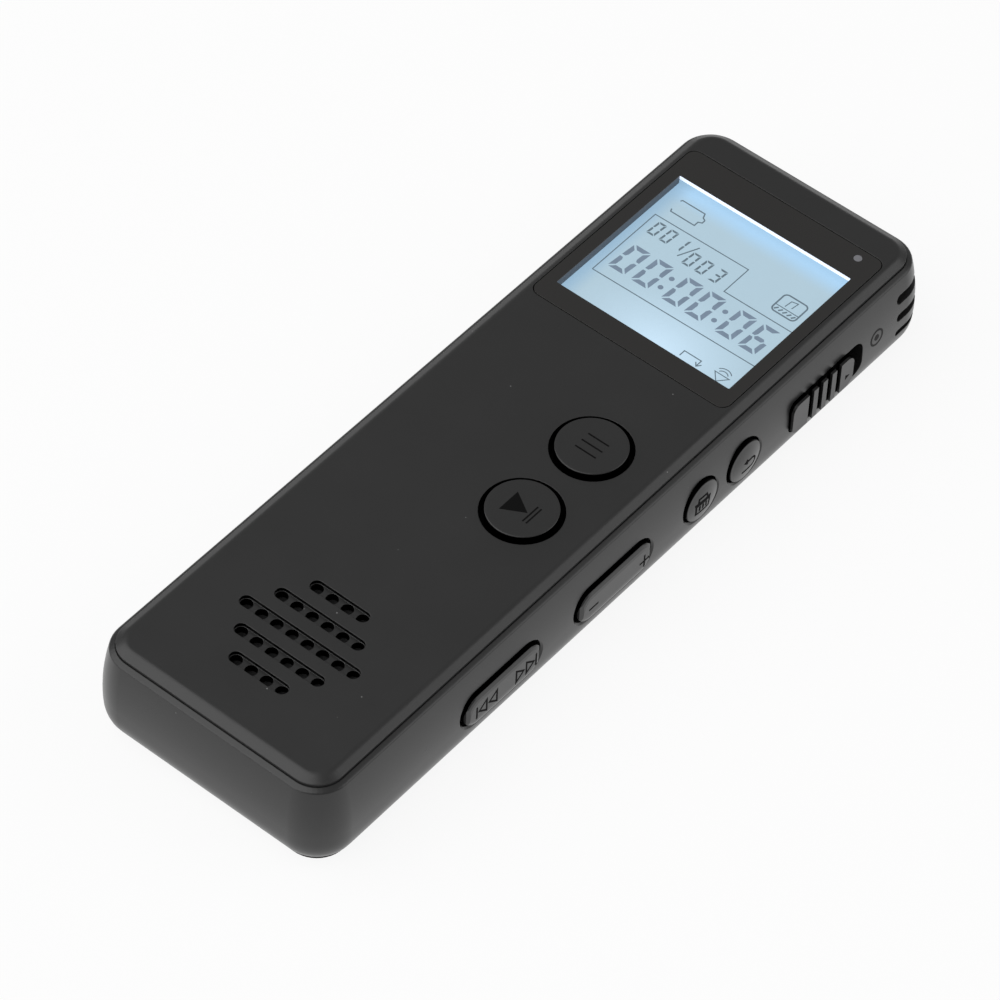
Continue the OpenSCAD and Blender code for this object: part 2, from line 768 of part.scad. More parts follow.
module record_slider() {
    tip_x = wall_x + knob_rise;
    plate_x = inner_w - 0.1;
    grip = [for (k = [0:3]) 1.7 * k - 2.38];
    grip_half = 0.43;
    color([0.11, 0.11, 0.115])
        translate([0, knob_y, slider_z]) {
            difference() {
                tab(knob_l, knob_h, 1.1, 1.3, plate_x - 0.1, tip_x);
                for (y = grip)
                    block([tip_x - 0.8, y - grip_half, -knob_h], [tip_x + 1, y + grip_half, knob_h]);
            }
            block([plate_x - 0.55, -plate_l / 2, -2.9], [plate_x, plate_l / 2, 2.9]);
            for (s = [-1, 1])
                translate([0, s * (lever_w / 2 + 0.05 + 0.4), 0])
                    block([board_x + 0.4, -0.4, -1.2], [plate_x - 0.5, 0.4, 1.2]);
        }
}

module record_lever() {
    color([0.15, 0.15, 0.15])
        translate([0, knob_y, slider_z])
            block([board_x - 1, -lever_w / 2, -0.7], [board_x + 1.4, lever_w / 2, 0.7]);
}

module record_switch() {
    body_y = knob_y + slider_travel / 2;
    body_l = 9;
    groove = lever_w + slider_travel + 0.3;
    color([0.75, 0.75, 0.76])
        difference() {
            block([board_x - 3.4, body_y - body_l / 2, slider_z - 1.9], [board_x, body_y + body_l / 2, board_z]);
            block([board_x - 1.2, body_y - groove / 2, slider_z - 0.85],
                [board_x + 1, body_y + groove / 2, slider_z + 0.85]);
        }
}

module main_board() {
    far_y = half_l - 2.3;
    near_y = grille_y + speaker_r + 0.8;
    tongue_y = skip_y - rocker_reach - switch_w / 2 - 0.8;
    color([0.05, 0.3, 0.16])
        difference() {
            union() {
                block([-13.4, near_y, board_z], [board_x, far_y, board_top]);
                block([board_x - 3.4, tongue_y, board_z], [board_x, near_y + 1, board_top]);
            }
            for (p = [boss_spots[2], boss_spots[3]])
                translate([p[0], p[1], board_z - 1])
                    cylinder(r = boss_r + 0.2, h = 3);
            for (p = post_spots)
                translate([p[0], p[1], board_z - 1])
                    cylinder(r = board_screw_r + 0.25, h = 3);
        }
}

module board_screws() {
    color([0.72, 0.72, 0.7])
        for (p = post_spots)
            translate([p[0], p[1], 0])
                difference() {
                    union() {
                        translate([0, 0, board_z - 0.6])
                            cylinder(r = 1.2, h = 0.6);
                        translate([0, 0, board_z - 0.2])
                            cylinder(r = board_screw_r, h = board_t + 2);
                    }
                    for (a = [0, 90])
                        rotate([0, 0, a])
                            block([-0.7, -0.12, board_z - 1], [0.7, 0.12, board_z - 0.3]);
                }
}

module board_chips() {
    color([0.08, 0.08, 0.09]) {
        block([-11, -8, board_top], [-3, 0, board_top + 0.9]);
        block([-10.5, -20, board_top], [-4.5, -14.5, board_top + 0.9]);
        block([-2, -22, board_top], [3, -17, board_top + 0.8]);
        block([-8.6, 4.2, board_top], [-4.6, 8.2, board_top + 0.8]);
    }
}

module board_parts() {
    color([0.7, 0.55, 0.35]) {
        for (k = [0:5])
            block([-12.6, -9 + 1.8 * k, board_top], [-11.8, -8.4 + 1.8 * k, board_top + 0.45]);
        for (k = [0:4])
            block([4.6 + 1.1 * k, -21.6, board_top], [5.1 + 1.1 * k, -20.6, board_top + 0.45]);
        for (k = [0:3])
            block([-2.4, -7 + 2 * k, board_top], [-1.6, -6 + 2 * k, board_top + 0.45]);
        block([-12.5, -12.6, board_top], [-9.3, -11.1, board_top + 1]);
        block([-9, view_y - glass_l / 2 - 5, board_top], [9, view_y - glass_l / 2 - 2.5, board_top + 0.58]);
    }
}

module status_led() {
    color([0.9, 0.9, 0.85])
        translate([lamp_x, lamp_y, 0])
            block([-0.8, -0.4, board_top], [0.8, 0.4, board_top + 0.6]);
}

module speaker_basket() {
    color([0.2, 0.2, 0.21])
        translate([0, grille_y, basket_z])
            rotate_extrude()
                polygon([[magnet_r + 0.2, 0], [speaker_r - 2.2, 0], [speaker_r - 1.2, 1.6], [speaker_r, 1.8],
                    [speaker_r, basket_h], [speaker_r - 0.8, basket_h], [speaker_r - 0.8, 2.4],
                    [speaker_r - 2, 2.2], [speaker_r - 2.9, 0.6], [magnet_r + 0.2, 0.6]]);
}

module speaker_magnet() {
    color([0.6, 0.6, 0.62])
        translate([0, grille_y, basket_z]) {
            translate([0, 0, -magnet_h])
                cylinder(r = magnet_r, h = magnet_h);
            translate([0, 0, -eps])
                cylinder(r = magnet_r + 0.15, h = 0.6);
        }
}

module speaker_cone() {
    color([0.16, 0.16, 0.17])
        translate([0, grille_y, basket_z])
            rotate_extrude()
                polygon([[0, 2.3], [2, 2.1], [3.6, 1.4], [3.6, 0.6], [3.8, 0.6], [3.8, 1.5],
                    [speaker_r - 2.4, 2.6], [speaker_r - 1.6, 2.9], [speaker_r - 0.8, 2.6],
                    [speaker_r - 0.8, 2.75], [speaker_r - 1.6, 3.05], [speaker_r - 2.5, 2.75],
                    [3.7, 1.65], [2, 2.3], [0, 2.5]]);
}

module speaker_gasket() {
    color([0.15, 0.15, 0.15])
        translate([0, grille_y, basket_z + basket_h])
            difference() {
                cylinder(r = speaker_r, h = gasket_t);
                translate([0, 0, -1])
                    cylinder(r = speaker_r - 1, h = gasket_t + 2);
            }
}

module speaker_cloth() {
    color([0.05, 0.05, 0.05])
        translate([0, grille_y, shelf_z - cloth_t])
            cylinder(r = speaker_r - 0.1, h = cloth_t);
}

module speaker_leads() {
    color([0.7, 0.1, 0.1]) {
        wire(speaker_red, wire_r, [1, 0.2, 0]);
        wire(speaker_black, wire_r, [1, 0.2, 0]);
    }
}

module battery_pouch() {
    color([0.72, 0.73, 0.75])
        translate([cell_x, cell_y, 0]) {
            slab(cell_w, cell_l - 2, 1, cell_z, cell_z + cell_t);
            block([-cell_w / 2 + 1, cell_l / 2 - 1.5, cell_z + 1.2], [cell_w / 2 - 1, cell_l / 2, cell_z + 3]);
        }
}

module battery_foam() {
    color([0.25, 0.25, 0.25])
        translate([cell_x, cell_y, 0])
            block([-cell_w / 2 + 2, -cell_l / 2 + 4, back_t], [cell_w / 2 - 2, cell_l / 2 - 4, cell_z]);
}

module battery_leads() {
    color([0.7, 0.1, 0.1]) {
        wire(battery_red, wire_r, [1, 0, 0]);
        wire(battery_black, wire_r, [1, 0, 0]);
    }
}

module microphones() {
    color([0.78, 0.78, 0.78])
        for (s = [0, 1])
            mirror([s, 0, 0])
                translate([0, mic_y, mic_z])
                    bar_x(mic_r, mic_back_x + 0.4, inner_w - 0.3);
}

module mic_boots() {
    color([0.08, 0.08, 0.08])
        intersection() {
            for (s = [0, 1])
                mirror([s, 0, 0])
                    translate([0, mic_y, mic_z])
                        difference() {
                            bar_x(mic_r + boot_t, mic_back_x, inner_w);
                            bar_x(mic_r, mic_back_x + 0.4, inner_w + 1);
                        }
            slab(2 * inner_w, 2 * inner_l, inner_r, 0, body_h);
        }
}

module mic_leads() {
    color([0.75, 0.75, 0.2])
        for (s = [-1, 1])
            for (path = [mic_wire_a, mic_wire_b])
                wire([for (p = path) [s * p[0], p[1], p[2]]], fine_wire_r, [0, 1, 0]);
}

module earphone_socket() {
    color([0.09, 0.09, 0.095])
        difference() {
            union() {
                block([-3.1, socket_out - socket_l - 0.6, socket_z - socket_half_h], [3.1, inner_l - 0.3, board_z]);
                translate([0, inner_l - 0.4, socket_z])
                    rotate([-90, 0, 0])
                        cylinder(r = nozzle_r, h = socket_out - inner_l + 0.4);
            }
            translate([0, socket_out - socket_l, socket_z])
                rotate([-90, 0, 0])
                    cylinder(r = socket_r, h = socket_l + 1);
        }
}

module usb_shell() {
    color([0.75, 0.75, 0.77])
        translate([-usb_out, usb_y, usb_z])
            difference() {
                oblong(usb_w, [[0, usb_h / 2], [usb_in, usb_h / 2]]);
                oblong(usb_w - 0.6, [[-1, usb_h / 2 - 0.3], [usb_in - 1, usb_h / 2 - 0.3]]);
            }
}

module usb_tongue() {
    color([0.1, 0.1, 0.1])
        translate([-usb_out, usb_y, usb_z])
            block([0.6, -3.35, -0.35], [usb_in - 1, 3.35, 0.35]);
}

front_cover();
side_frame();
back_cover();
cover_screws();
display_bezel();
display_window();
light_pipe();
lcd_glass();
lcd_light_guide();
lcd_holder();
lcd_ribbon();
menu_button();
play_button();
menu_plunger();
play_plunger();
front_switches();
delete_button();
back_button();
delete_plunger();
back_plunger();
side_switches();
volume_rocker();
skip_rocker();
rocker_pins();
record_slider();
record_lever();
record_switch();
main_board();
board_screws();
board_chips();
board_parts();
status_led();
speaker_basket();
speaker_magnet();
speaker_cone();
speaker_gasket();
speaker_cloth();
speaker_leads();
battery_pouch();
battery_foam();
battery_leads();
microphones();
mic_boots();
mic_leads();
earphone_socket();
usb_shell();
usb_tongue();
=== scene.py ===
"""Looks of a handheld voice recorder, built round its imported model.

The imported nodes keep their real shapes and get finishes. Pieces that are finer than the model, such as the
key caps, the signs on them, the marks of the display and the leads, are surfaces worked out here with numpy.
Classes hold lengths in millimetres, and a mesh turns them into metres when it is made.
"""

import logging
import math
from dataclasses import dataclass
from functools import cache
from typing import Callable, Protocol

import bmesh
import bpy
import numpy as np
from mathutils import Matrix, Vector

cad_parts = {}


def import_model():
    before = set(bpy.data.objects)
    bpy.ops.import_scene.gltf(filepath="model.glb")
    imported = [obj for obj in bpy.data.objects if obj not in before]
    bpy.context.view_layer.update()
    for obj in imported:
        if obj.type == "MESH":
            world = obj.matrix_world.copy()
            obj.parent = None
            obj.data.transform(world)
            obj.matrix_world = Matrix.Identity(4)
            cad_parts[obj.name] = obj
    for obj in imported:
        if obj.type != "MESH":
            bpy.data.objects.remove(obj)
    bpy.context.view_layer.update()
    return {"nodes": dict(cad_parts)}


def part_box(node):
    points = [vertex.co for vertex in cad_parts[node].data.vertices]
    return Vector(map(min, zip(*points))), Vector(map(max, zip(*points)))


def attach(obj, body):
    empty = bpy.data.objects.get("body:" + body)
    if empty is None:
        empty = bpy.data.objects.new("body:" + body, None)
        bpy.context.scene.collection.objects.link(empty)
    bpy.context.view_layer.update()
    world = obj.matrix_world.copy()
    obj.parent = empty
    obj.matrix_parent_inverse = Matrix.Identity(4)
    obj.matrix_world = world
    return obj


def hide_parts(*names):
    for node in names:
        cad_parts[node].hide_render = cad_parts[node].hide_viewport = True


MM = 0.001
LOG = logging.getLogger("voice_recorder")
Pair = tuple[float, float]
Triple = tuple[float, float, float]
Colour = Triple
Faces = list[tuple[int, ...]]
Socket = bpy.types.NodeSocket
# Near-black colour of the painted shade on the sides of gaps and recesses.
PAINTED_SHADE_BLACK = (0.001, 0.001, 0.001)
FRONT_LINE = 0.17
SIDE_LINE = 0.26
SHARP_DEGREES = 32.0


@dataclass
class Shell:
    """Points and faces of one or more closed surfaces, in millimetres."""

    points: np.ndarray
    faces: Faces

    def moved(self, offset: Triple) -> "Shell":
        """Returns the shell moved by offset."""
        return Shell(self.points + np.array(offset), self.faces)

    def on_side(self) -> "Shell":
        """Returns the shell turned onto the side with the keys: across to +Y, along to +Z, height to +X."""
        return Shell(self.points[:, [2, 0, 1]], self.faces)

    @staticmethod
    def joined(shells: list["Shell"]) -> "Shell":
        """Puts several shells into one.

        Args:
            shells: the shells, which keep their own faces.

        Returns:
            One shell with all points and faces.
        """
        starts = np.cumsum([0] + [len(s.points) for s in shells[:-1]])
        faces = [tuple(i + int(start) for i in face) for s, start in zip(shells, starts) for face in s.faces]
        return Shell(np.concatenate([s.points for s in shells]), faces)


def grid_faces(rows: int, cols: int, wrap_rows: bool = False, wrap_cols: bool = False) -> Faces:
    """Quads between neighbours of a grid of points that is stored row by row.

    Args:
        rows: number of rows.
        cols: number of points in a row.
        wrap_rows: whether the last row joins the first.
        wrap_cols: whether the last point of a row joins its first.

    Returns:
        The quads as tuples of point numbers.
    """
    i = np.arange(rows if wrap_rows else rows - 1)[:, None]
    j = np.arange(cols if wrap_cols else cols - 1)[None, :]
    down, right = (i + 1) % rows, (j + 1) % cols
    quads = np.stack([i * cols + j, i * cols + right, down * cols + right, down * cols + j], -1)
    return [tuple(q) for q in quads.reshape(-1, 4).tolist()]


def lathe(profile: np.ndarray, turns: int) -> Shell:
    """A profile turned about the height axis: point(i, a) = (r_i cos a, r_i sin a, h_i).

    Args:
        profile: rows of (radius, height), from axis to axis, so that the surface is closed.
        turns: points round the axis.

    Returns:
        The turned shell.
    """
    angle = np.linspace(0, 2 * math.pi, turns, endpoint=False)
    radius, height = profile[:, 0][:, None], profile[:, 1][:, None]
    grid = np.stack([radius * np.cos(angle), radius * np.sin(angle), height + 0 * angle], -1)
    return Shell(grid.reshape(-1, 3), grid_faces(len(profile), turns, wrap_cols=True))


def rounded_outline(half: Pair, radius: float, arc: int = 10) -> np.ndarray:
    """Points round a rectangle with round corners, anticlockwise.

    Args:
        half: half its width and half its length.
        radius: its corner radius.
        arc: steps in each corner.

    Returns:
        Rows of (across, along).
    """
    quarter = np.linspace(0, math.pi / 2, arc + 1)
    angle = (quarter[None, :] + np.arange(4)[:, None] * math.pi / 2).ravel()
    signs = np.repeat(np.array([[1, 1], [-1, 1], [-1, -1], [1, -1]]), arc + 1, axis=0)
    return signs * (np.array(half) - radius) + radius * np.stack([np.cos(angle), np.sin(angle)], -1)


def plate(outline: np.ndarray, low: float, high: float) -> Shell:
    """A flat plate: the outline at height low and again at height high, joined by a wall.

    Args:
        outline: rows of (across, along), going round once.
        low: height of the underside.
        high: height of the top.

    Returns:
        The closed plate.
    """
    count = len(outline)
    rings = np.concatenate([np.c_[outline, np.full(count, low)], np.c_[outline, np.full(count, high)]])
    ends = [tuple(range(count)), tuple(range(count, 2 * count))]
    return Shell(rings, grid_faces(2, count, wrap_cols=True) + ends)


def rectangle(low: Pair, high: Pair) -> np.ndarray:
    """Corners of a flat rectangle, going round once from its low corner."""
    return np.array([low, (high[0], low[1]), high, (low[0], high[1])])


def stroke(path: np.ndarray, width: float, low: float, high: float, closed: bool = False) -> Shell:
    """A flat line of even width: a rectangle carried along a flat path, mitred at its corners.

    At each corner the two sides are moved out by width / 2 along the mean of the two normals, divided by the
    cosine of half the turn, so the line keeps its width.

    Args:
        path: rows of (across, along).
        width: width of the line.
        low: height of the underside.
        high: height of the top.
        closed: whether the path goes back to its start.

    Returns:
        The closed solid of the line.
    """
    count = len(path)
    before = np.roll(path, 1, axis=0) if closed else np.vstack([2 * path[0] - path[1], path[:-1]])
    after = np.roll(path, -1, axis=0) if closed else np.vstack([path[1:], 2 * path[-1] - path[-2]])
    into = (path - before) / np.linalg.norm(path - before, axis=1, keepdims=True)
    out = (after - path) / np.linalg.norm(after - path, axis=1, keepdims=True)
    normal = np.stack([-(into + out)[:, 1], (into + out)[:, 0]], -1)
    normal /= np.linalg.norm(normal, axis=1, keepdims=True)
    cosine = np.clip((normal * np.stack([-into[:, 1], into[:, 0]], -1)).sum(1, keepdims=True), 0.35, 1)
    side = normal * (width / 2 / cosine)
    corner = [(side, low), (side, high), (-side, high), (-side, low)]
    grid = np.stack([np.c_[path + s, np.full(count, h)] for s, h in corner], 1)
    faces = grid_faces(count, 4, wrap_rows=closed, wrap_cols=True)
    if not closed:
        faces += [(0, 1, 2, 3), tuple(range(4 * count - 4, 4 * count))]
    return Shell(grid.reshape(-1, 3), faces)


def arc_path(centre: Pair, radius: float, start: float, end: float, steps: int = 16) -> np.ndarray:
    """Points of a circle's arc between two angles in degrees, as rows of (across, along)."""
    angle = np.radians(np.linspace(start, end, steps + 1))
    return np.array(centre) + radius * np.stack([np.cos(angle), np.sin(angle)], -1)


def smooth_path(knots: np.ndarray, steps: int = 8) -> np.ndarray:
    """A Catmull-Rom curve through points of space.

    Between knots b and c, with neighbours a and d, the point at t is
    (2b + (c - a)t + (2a - 5b + 4c - d)t^2 + (3b - a - 3c + d)t^3) / 2.

    Args:
        knots: rows of (x, y, z).
        steps: points for each stretch between knots.

    Returns:
        The curve's points.
    """
    padded = np.vstack([2 * knots[0] - knots[1], knots, 2 * knots[-1] - knots[-2]])
    a, b, c, d = (padded[i : len(padded) - 3 + i][:, None, :] for i in range(4))
    t = np.linspace(0, 1, steps, endpoint=False)[None, :, None]
    curve = (2 * b + (c - a) * t + (2 * a - 5 * b + 4 * c - d) * t**2 + (3 * b - a - 3 * c + d) * t**3) / 2
    return np.vstack([curve.reshape(-1, 3), knots[-1]])


def tube(path: np.ndarray, radius: float, aside: Triple, sides: int = 16) -> Shell:
    """A round tube along a path: point(i, a) = path_i + radius (cos a across_i + sin a up_i).

    Args:
        path: rows of (x, y, z).
        radius: radius of the tube.
        aside: a direction that points away from the plane of the path, which keeps the rings from twisting.
        sides: points round the tube.

    Returns:
        The tube with flat ends.
    """
    along = np.gradient(path, axis=0)
    across = np.cross(along, np.array(aside))
    across /= np.linalg.norm(across, axis=1, keepdims=True)
    up = np.cross(across, along)
    up /= np.linalg.norm(up, axis=1, keepdims=True)
    angle = np.linspace(0, 2 * math.pi, sides, endpoint=False)[None, :, None]
    grid = path[:, None, :] + radius * (np.cos(angle) * across[:, None, :] + np.sin(angle) * up[:, None, :])
    last = (len(path) - 1) * sides
    ends = [tuple(range(sides)), tuple(range(last, last + sides))]
    return Shell(grid.reshape(-1, 3), grid_faces(len(path), sides, wrap_cols=True) + ends)


def fillet(start: Pair, end: Pair, steps: int = 7) -> np.ndarray:
    """A quarter of an ellipse that leaves its start along the height axis.

    Args:
        start: first point, as (radius, height).
        end: last point.
        steps: stretches in the curve.

    Returns:
        Points from start to end.
    """
    t = np.linspace(0, math.pi / 2, steps + 1)[:, None]
    a, b = np.array(start), np.array(end)
    return a + (b - a) * np.c_[1 - np.cos(t), np.sin(t)]


def added(name: str, data: bpy.types.ID) -> bpy.types.Object:
    """Puts an object with that data into the scene."""
    made = bpy.data.objects.new(name, data)
    bpy.context.scene.collection.objects.link(made)
    return made


def make_piece(
    name: str,
    shell: Shell,
    look: str,
    body: str,
    replaces: tuple[str, ...] = (),
) -> bpy.types.Object:
    """Turns a shell into a piece of the recorder.

    Args:
        name: the object's name.
        shell: its surface in the recorder's frame, in millimetres.
        look: its finish, by name.
        body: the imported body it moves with.
        replaces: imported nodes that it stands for.

    Returns:
        The new object, at the origin, with its place in its mesh.
    """
    mesh = bpy.data.meshes.new(name)
    mesh.from_pydata((shell.points * MM).tolist(), [], shell.faces)
    work = bmesh.new()
    work.from_mesh(mesh)
    bmesh.ops.remove_doubles(work, verts=work.verts, dist=1e-7)
    bmesh.ops.dissolve_degenerate(work, dist=1e-8, edges=work.edges)
    bmesh.ops.recalc_face_normals(work, faces=work.faces)
    work.to_mesh(mesh)
    work.free()
    mesh.polygons.foreach_set("use_smooth", np.ones(len(mesh.polygons), bool))
    mesh.set_sharp_from_angle(angle=math.radians(SHARP_DEGREES))
    mesh.materials.append(finish(look))
    piece = added(name, mesh)
    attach(piece, body)
    if replaces:
        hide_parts(*replaces)
    return piece


def math_node(operation: str, swapped: bool = False) -> Callable[["Number", object], "Number"]:
    """A method of Number that adds one Math node, with the other number first if swapped."""

    def method(number: "Number", other: object) -> "Number":
        """Adds the Math node and returns its result."""
        return number.combined(operation, *((other, number) if swapped else (number, other)))

    return method


class Number:
    """A number that flows through a material. Arithmetic on it adds Math nodes.

    above gives 1 where the number is greater than the other and 0 elsewhere. at_most gives the lower of the
    two and at_least the higher.
    """

    __add__ = __radd__ = math_node("ADD")
    __sub__ = math_node("SUBTRACT")
    __rsub__ = math_node("SUBTRACT", swapped=True)
    __mul__ = __rmul__ = math_node("MULTIPLY")
    __truediv__ = math_node("DIVIDE")
    __pow__ = math_node("POWER")
    above = math_node("GREATER_THAN")
    at_most = math_node("MINIMUM")
    at_least = math_node("MAXIMUM")

    def __init__(self, maker: "Maker", socket: Socket) -> None:
        """Keeps the material's maker and the socket that gives the number."""
        self.maker = maker
        self.socket = socket

    def combined(self, operation: str, first: object, second: object = 0.0) -> "Number":
        """Adds one Math node and returns its result."""
        return self.maker.number("ShaderNodeMath", {"operation": operation}, {0: first, 1: second})

    def __abs__(self) -> "Number":
        """Size without sign."""
        return self.combined("ABSOLUTE", self)

    def sine(self) -> "Number":
        """Sine of the number, in radians."""
        return self.combined("SINE", self)

    def step(self, start: float, end: float) -> "Number":
        """Rises smoothly from 0 at start to 1 at end, and stays in that range."""
        settings = {"interpolation_type": "SMOOTHSTEP", "clamp": True}
        return self.maker.number("ShaderNodeMapRange", settings, {0: self, 1: start, 2: end})


class Maker:
    """Builds one material's nodes."""

    def __init__(self, name: str) -> None:
        """Starts a material with nothing but its output."""
        self.material = bpy.data.materials.new(name)
        self.material.use_nodes = True
        self.tree = self.material.node_tree
        self.tree.nodes.clear()
        self.out = self.tree.nodes.new("ShaderNodeOutputMaterial")
        self._millimetres: Socket | None = None

    def node(
        self, kind: str, settings: dict | None = None, values: dict | None = None
    ) -> bpy.types.NodeOutputs:
        """Adds a node.

        Args:
            kind: the node's type.
            settings: its properties, set first; "stops" gives a colour ramp's stops as (place, colour).
            values: for each input's name or number, a plain value, a Number or a socket.

        Returns:
            The node's outputs.
        """
        made = self.tree.nodes.new(kind)
        for key, value in (settings or {}).items():
            if key == "stops":
                ramp = made.color_ramp
                while len(ramp.elements) < len(value):
                    ramp.elements.new(1.0)
                for element, (place, colour) in zip(ramp.elements, value):
                    element.position, element.color = place, (*colour, 1.0)
            else:
                setattr(made, key, value)
        for key, value in (values or {}).items():
            value = value.socket if isinstance(value, Number) else value
            if isinstance(value, Socket):
                self.tree.links.new(value, made.inputs[key])
            else:
                made.inputs[key].default_value = value
        return made.outputs

    def number(
        self, kind: str, settings: dict | None = None, values: dict | None = None, output: object = 0
    ) -> Number:
        """Adds a node and returns one of its outputs as a Number."""
        return Number(self, self.node(kind, settings, values)[output])

    @property
    def place(self) -> Socket:
        """Object coordinates in millimetres."""
        if self._millimetres is None:
            metres = self.node("ShaderNodeTexCoord")["Object"]
            settings = {"operation": "SCALE"}
            self._millimetres = self.node("ShaderNodeVectorMath", settings, {0: metres, 3: 1 / MM})[0]
        return self._millimetres

    def axes(self) -> tuple[Number, Number, Number]:
        """The three object coordinates in millimetres as Numbers."""
        return tuple(Number(self, part) for part in self.node("ShaderNodeSeparateXYZ", None, {0: self.place}))

    def noise(
        self, per_mm: float, detail: float = 3.0, rough: float = 0.55, stretch: Triple = (1, 1, 1)
    ) -> Number:
        """Soft noise about 0.5, so many features to the millimetre, squeezed along the axes by stretch."""
        where = self.place
        if stretch != (1, 1, 1):
            where = self.node("ShaderNodeMapping", None, {"Vector": where, "Scale": stretch})[0]
        values = {"Vector": where, "Scale": per_mm, "Detail": detail, "Roughness": rough}
        return self.number("ShaderNodeTexNoise", None, values)

    def cells(self, per_mm: float) -> Number:
        """Distance to the nearest of scattered points, so many to the millimetre, in their spacing."""
        return self.number("ShaderNodeTexVoronoi", None, {"Vector": self.place, "Scale": per_mm}, "Distance")

    def mix(self, factor: object, first: object, second: object) -> Socket:
        """A colour between first, at factor 0, and second, at factor 1."""
        first = (*first, 1.0) if isinstance(first, tuple) else first
        second = (*second, 1.0) if isinstance(second, tuple) else second
        return self.node("ShaderNodeMix", {"data_type": "RGBA"}, {0: factor, 6: first, 7: second})[2]

    def bumped(self, height: Number | None, depth_mm: float, edge_mm: float = 0.0) -> Socket | None:
        """A normal with a height pattern on it and edges that look rounded.

        Args:
            height: pattern between 0 and 1, or None.
            depth_mm: how deep the pattern is.
            edge_mm: radius that sharp edges seem to have.

        Returns:
            The normal, or None if there is nothing to change.
        """
        normal = None
        if edge_mm:
            normal = self.node("ShaderNodeBevel", {"samples": 6}, {"Radius": edge_mm * MM})[0]
        if height is None:
            return normal
        values = {"Height": height, "Distance": depth_mm * MM, "Strength": 1.0}
        if normal is not None:
            values["Normal"] = normal
        return self.node("ShaderNodeBump", None, values)[0]

    def surface(self, normal: Socket | None = None, **values: object) -> Socket:
        """Adds the main shader and returns it.

        Args:
            normal: the normal to use, if any.
            values: inputs of the shader by name, with _ for spaces; a plain colour gets its alpha.

        Returns:
            The shader's output.
        """
        inputs: dict = {}
        for key, value in values.items():
            title = {"ior": "IOR", "specular": "Specular IOR Level"}.get(key, key.replace("_", " ").title())
            inputs[title] = (*value, 1.0) if isinstance(value, tuple) and len(value) == 3 else value
        if normal is not None:
            inputs["Normal"] = normal
        return self.node("ShaderNodeBsdfPrincipled", None, inputs)[0]

    def done(self, shader: Socket) -> bpy.types.Material:
        """Joins the shader to the output and returns the material."""
        self.tree.links.new(shader, self.out.inputs["Surface"])
        return self.material


def shade(red: float, green: float | None = None, blue: float | None = None) -> Colour:
    """Linear light of the 0 to 255 levels that a screen would show; one level alone is a grey."""
    levels = np.array([red, red if green is None else green, red if blue is None else blue]) / 255
    linear = np.where(levels <= 0.04045, levels / 12.92, ((levels + 0.055) / 1.055) ** 2.4)
    return tuple(float(v) for v in linear)


def scaled(colour: Colour, by: float) -> Colour:
    """The colour, that many times as bright."""
    return tuple(c * by for c in colour)


class Finish(Protocol):
    """A look that pieces can be given."""

    def shader(self, m: Maker) -> Socket:
        """Adds the look's nodes and returns its shader."""


@dataclass(frozen=True)
class MouldedPlastic:
    """Moulded plastic with a fine grain, a little unevenness, soft edges and a few specks of dust.

    Faces that lie below a given height along a given axis, such as the sides of a gap or recess, get painted
    shade: dead black, and metallic so that they mirror almost nothing. For the Z axis that leaves out a floor
    at a given height and all that lies outside the given half sizes.
    """

    colour: Colour
    rough: float = 0.4
    specular: float = 0.5
    grain_per_mm: float = 7.0
    grain_mm: float = 0.002
    uneven: float = 0.12
    edge_mm: float = 0.12
    dust: float = 0.0
    shade_below: float | None = None
    unshaded_floor: float = -1.0
    shade_inside: Pair = (12.0, 48.0)
    shade_axis: int = 2

    def painted_shade(self, m: Maker) -> Number:
        """1 on the faces that get painted shade and 0 elsewhere."""
        fade, floor_t, side = 0.03, 0.02, 0.1
        x, y, z = m.axes()
        if self.shade_axis == 0:
            return 1 - x.step(self.shade_below - 2 * fade, self.shade_below)
        (half_x, half_y), floor_z = self.shade_inside, self.unshaded_floor
        inside_x = 1 - (x * x).step((half_x - side) ** 2, half_x**2)
        inside_y = 1 - (y * y).step((half_y - side) ** 2, half_y**2)
        floor = z.step(floor_z - fade, floor_z - floor_t) * (1 - z.step(floor_z + floor_t, floor_z + fade))
        return inside_x * inside_y * (1 - z.step(self.shade_below - fade, self.shade_below)) * (1 - floor)

    def shader(self, m: Maker) -> Socket:
        """Adds the look's nodes and returns its shader."""
        broad = m.noise(0.12, 2.0)
        fine = m.noise(self.grain_per_mm, 4.0, 0.6)
        tone = 1 + (broad - 0.5) * self.uneven + (fine - 0.5) * self.uneven
        dark = scaled(self.colour, 0.8)
        light = scaled(self.colour, 1.25)
        base = m.mix((tone - 0.8) / 0.45, dark, light)
        if self.dust:
            speck = 1 - m.cells(0.42).step(0.02, 0.045)
            some = m.noise(0.9, 1.0).above(0.56)
            base = m.mix(speck * some * self.dust, base, shade(150))
        rough = self.rough + (broad - 0.5) * 0.1 + (fine - 0.5) * 0.08
        normal = m.bumped(fine, self.grain_mm, self.edge_mm)
        values = {"base_color": base, "roughness": rough, "specular": self.specular}
        # Painted shade: faces in gaps and recesses become dead black and metallic, so they mirror almost
        # nothing.
        if self.shade_below is not None:
            shaded = self.painted_shade(m)
            values |= {"base_color": m.mix(shaded, base, PAINTED_SHADE_BLACK), "metallic": shaded}
        return m.surface(normal, **values)


@dataclass(frozen=True)
class Metal:
    """Plated or bare metal with a fine directional polish."""

    colour: Colour
    rough: float = 0.3
    brushed: Colour = (1, 1, 14)
    edge_mm: float = 0.05

    def shader(self, m: Maker) -> Socket:
        """Adds the look's nodes and returns its shader."""
        lines = m.noise(2.5, 3.0, 0.6, self.brushed)
        cloud = m.noise(0.5, 2.0)
        dark = scaled(self.colour, 0.7)
        base = m.mix((lines + cloud) / 2, dark, self.colour)
        rough = self.rough + (lines - 0.5) * 0.25
        normal = m.bumped(lines, 0.0015, self.edge_mm)
        return m.surface(normal, base_color=base, roughness=rough, metallic=1.0)


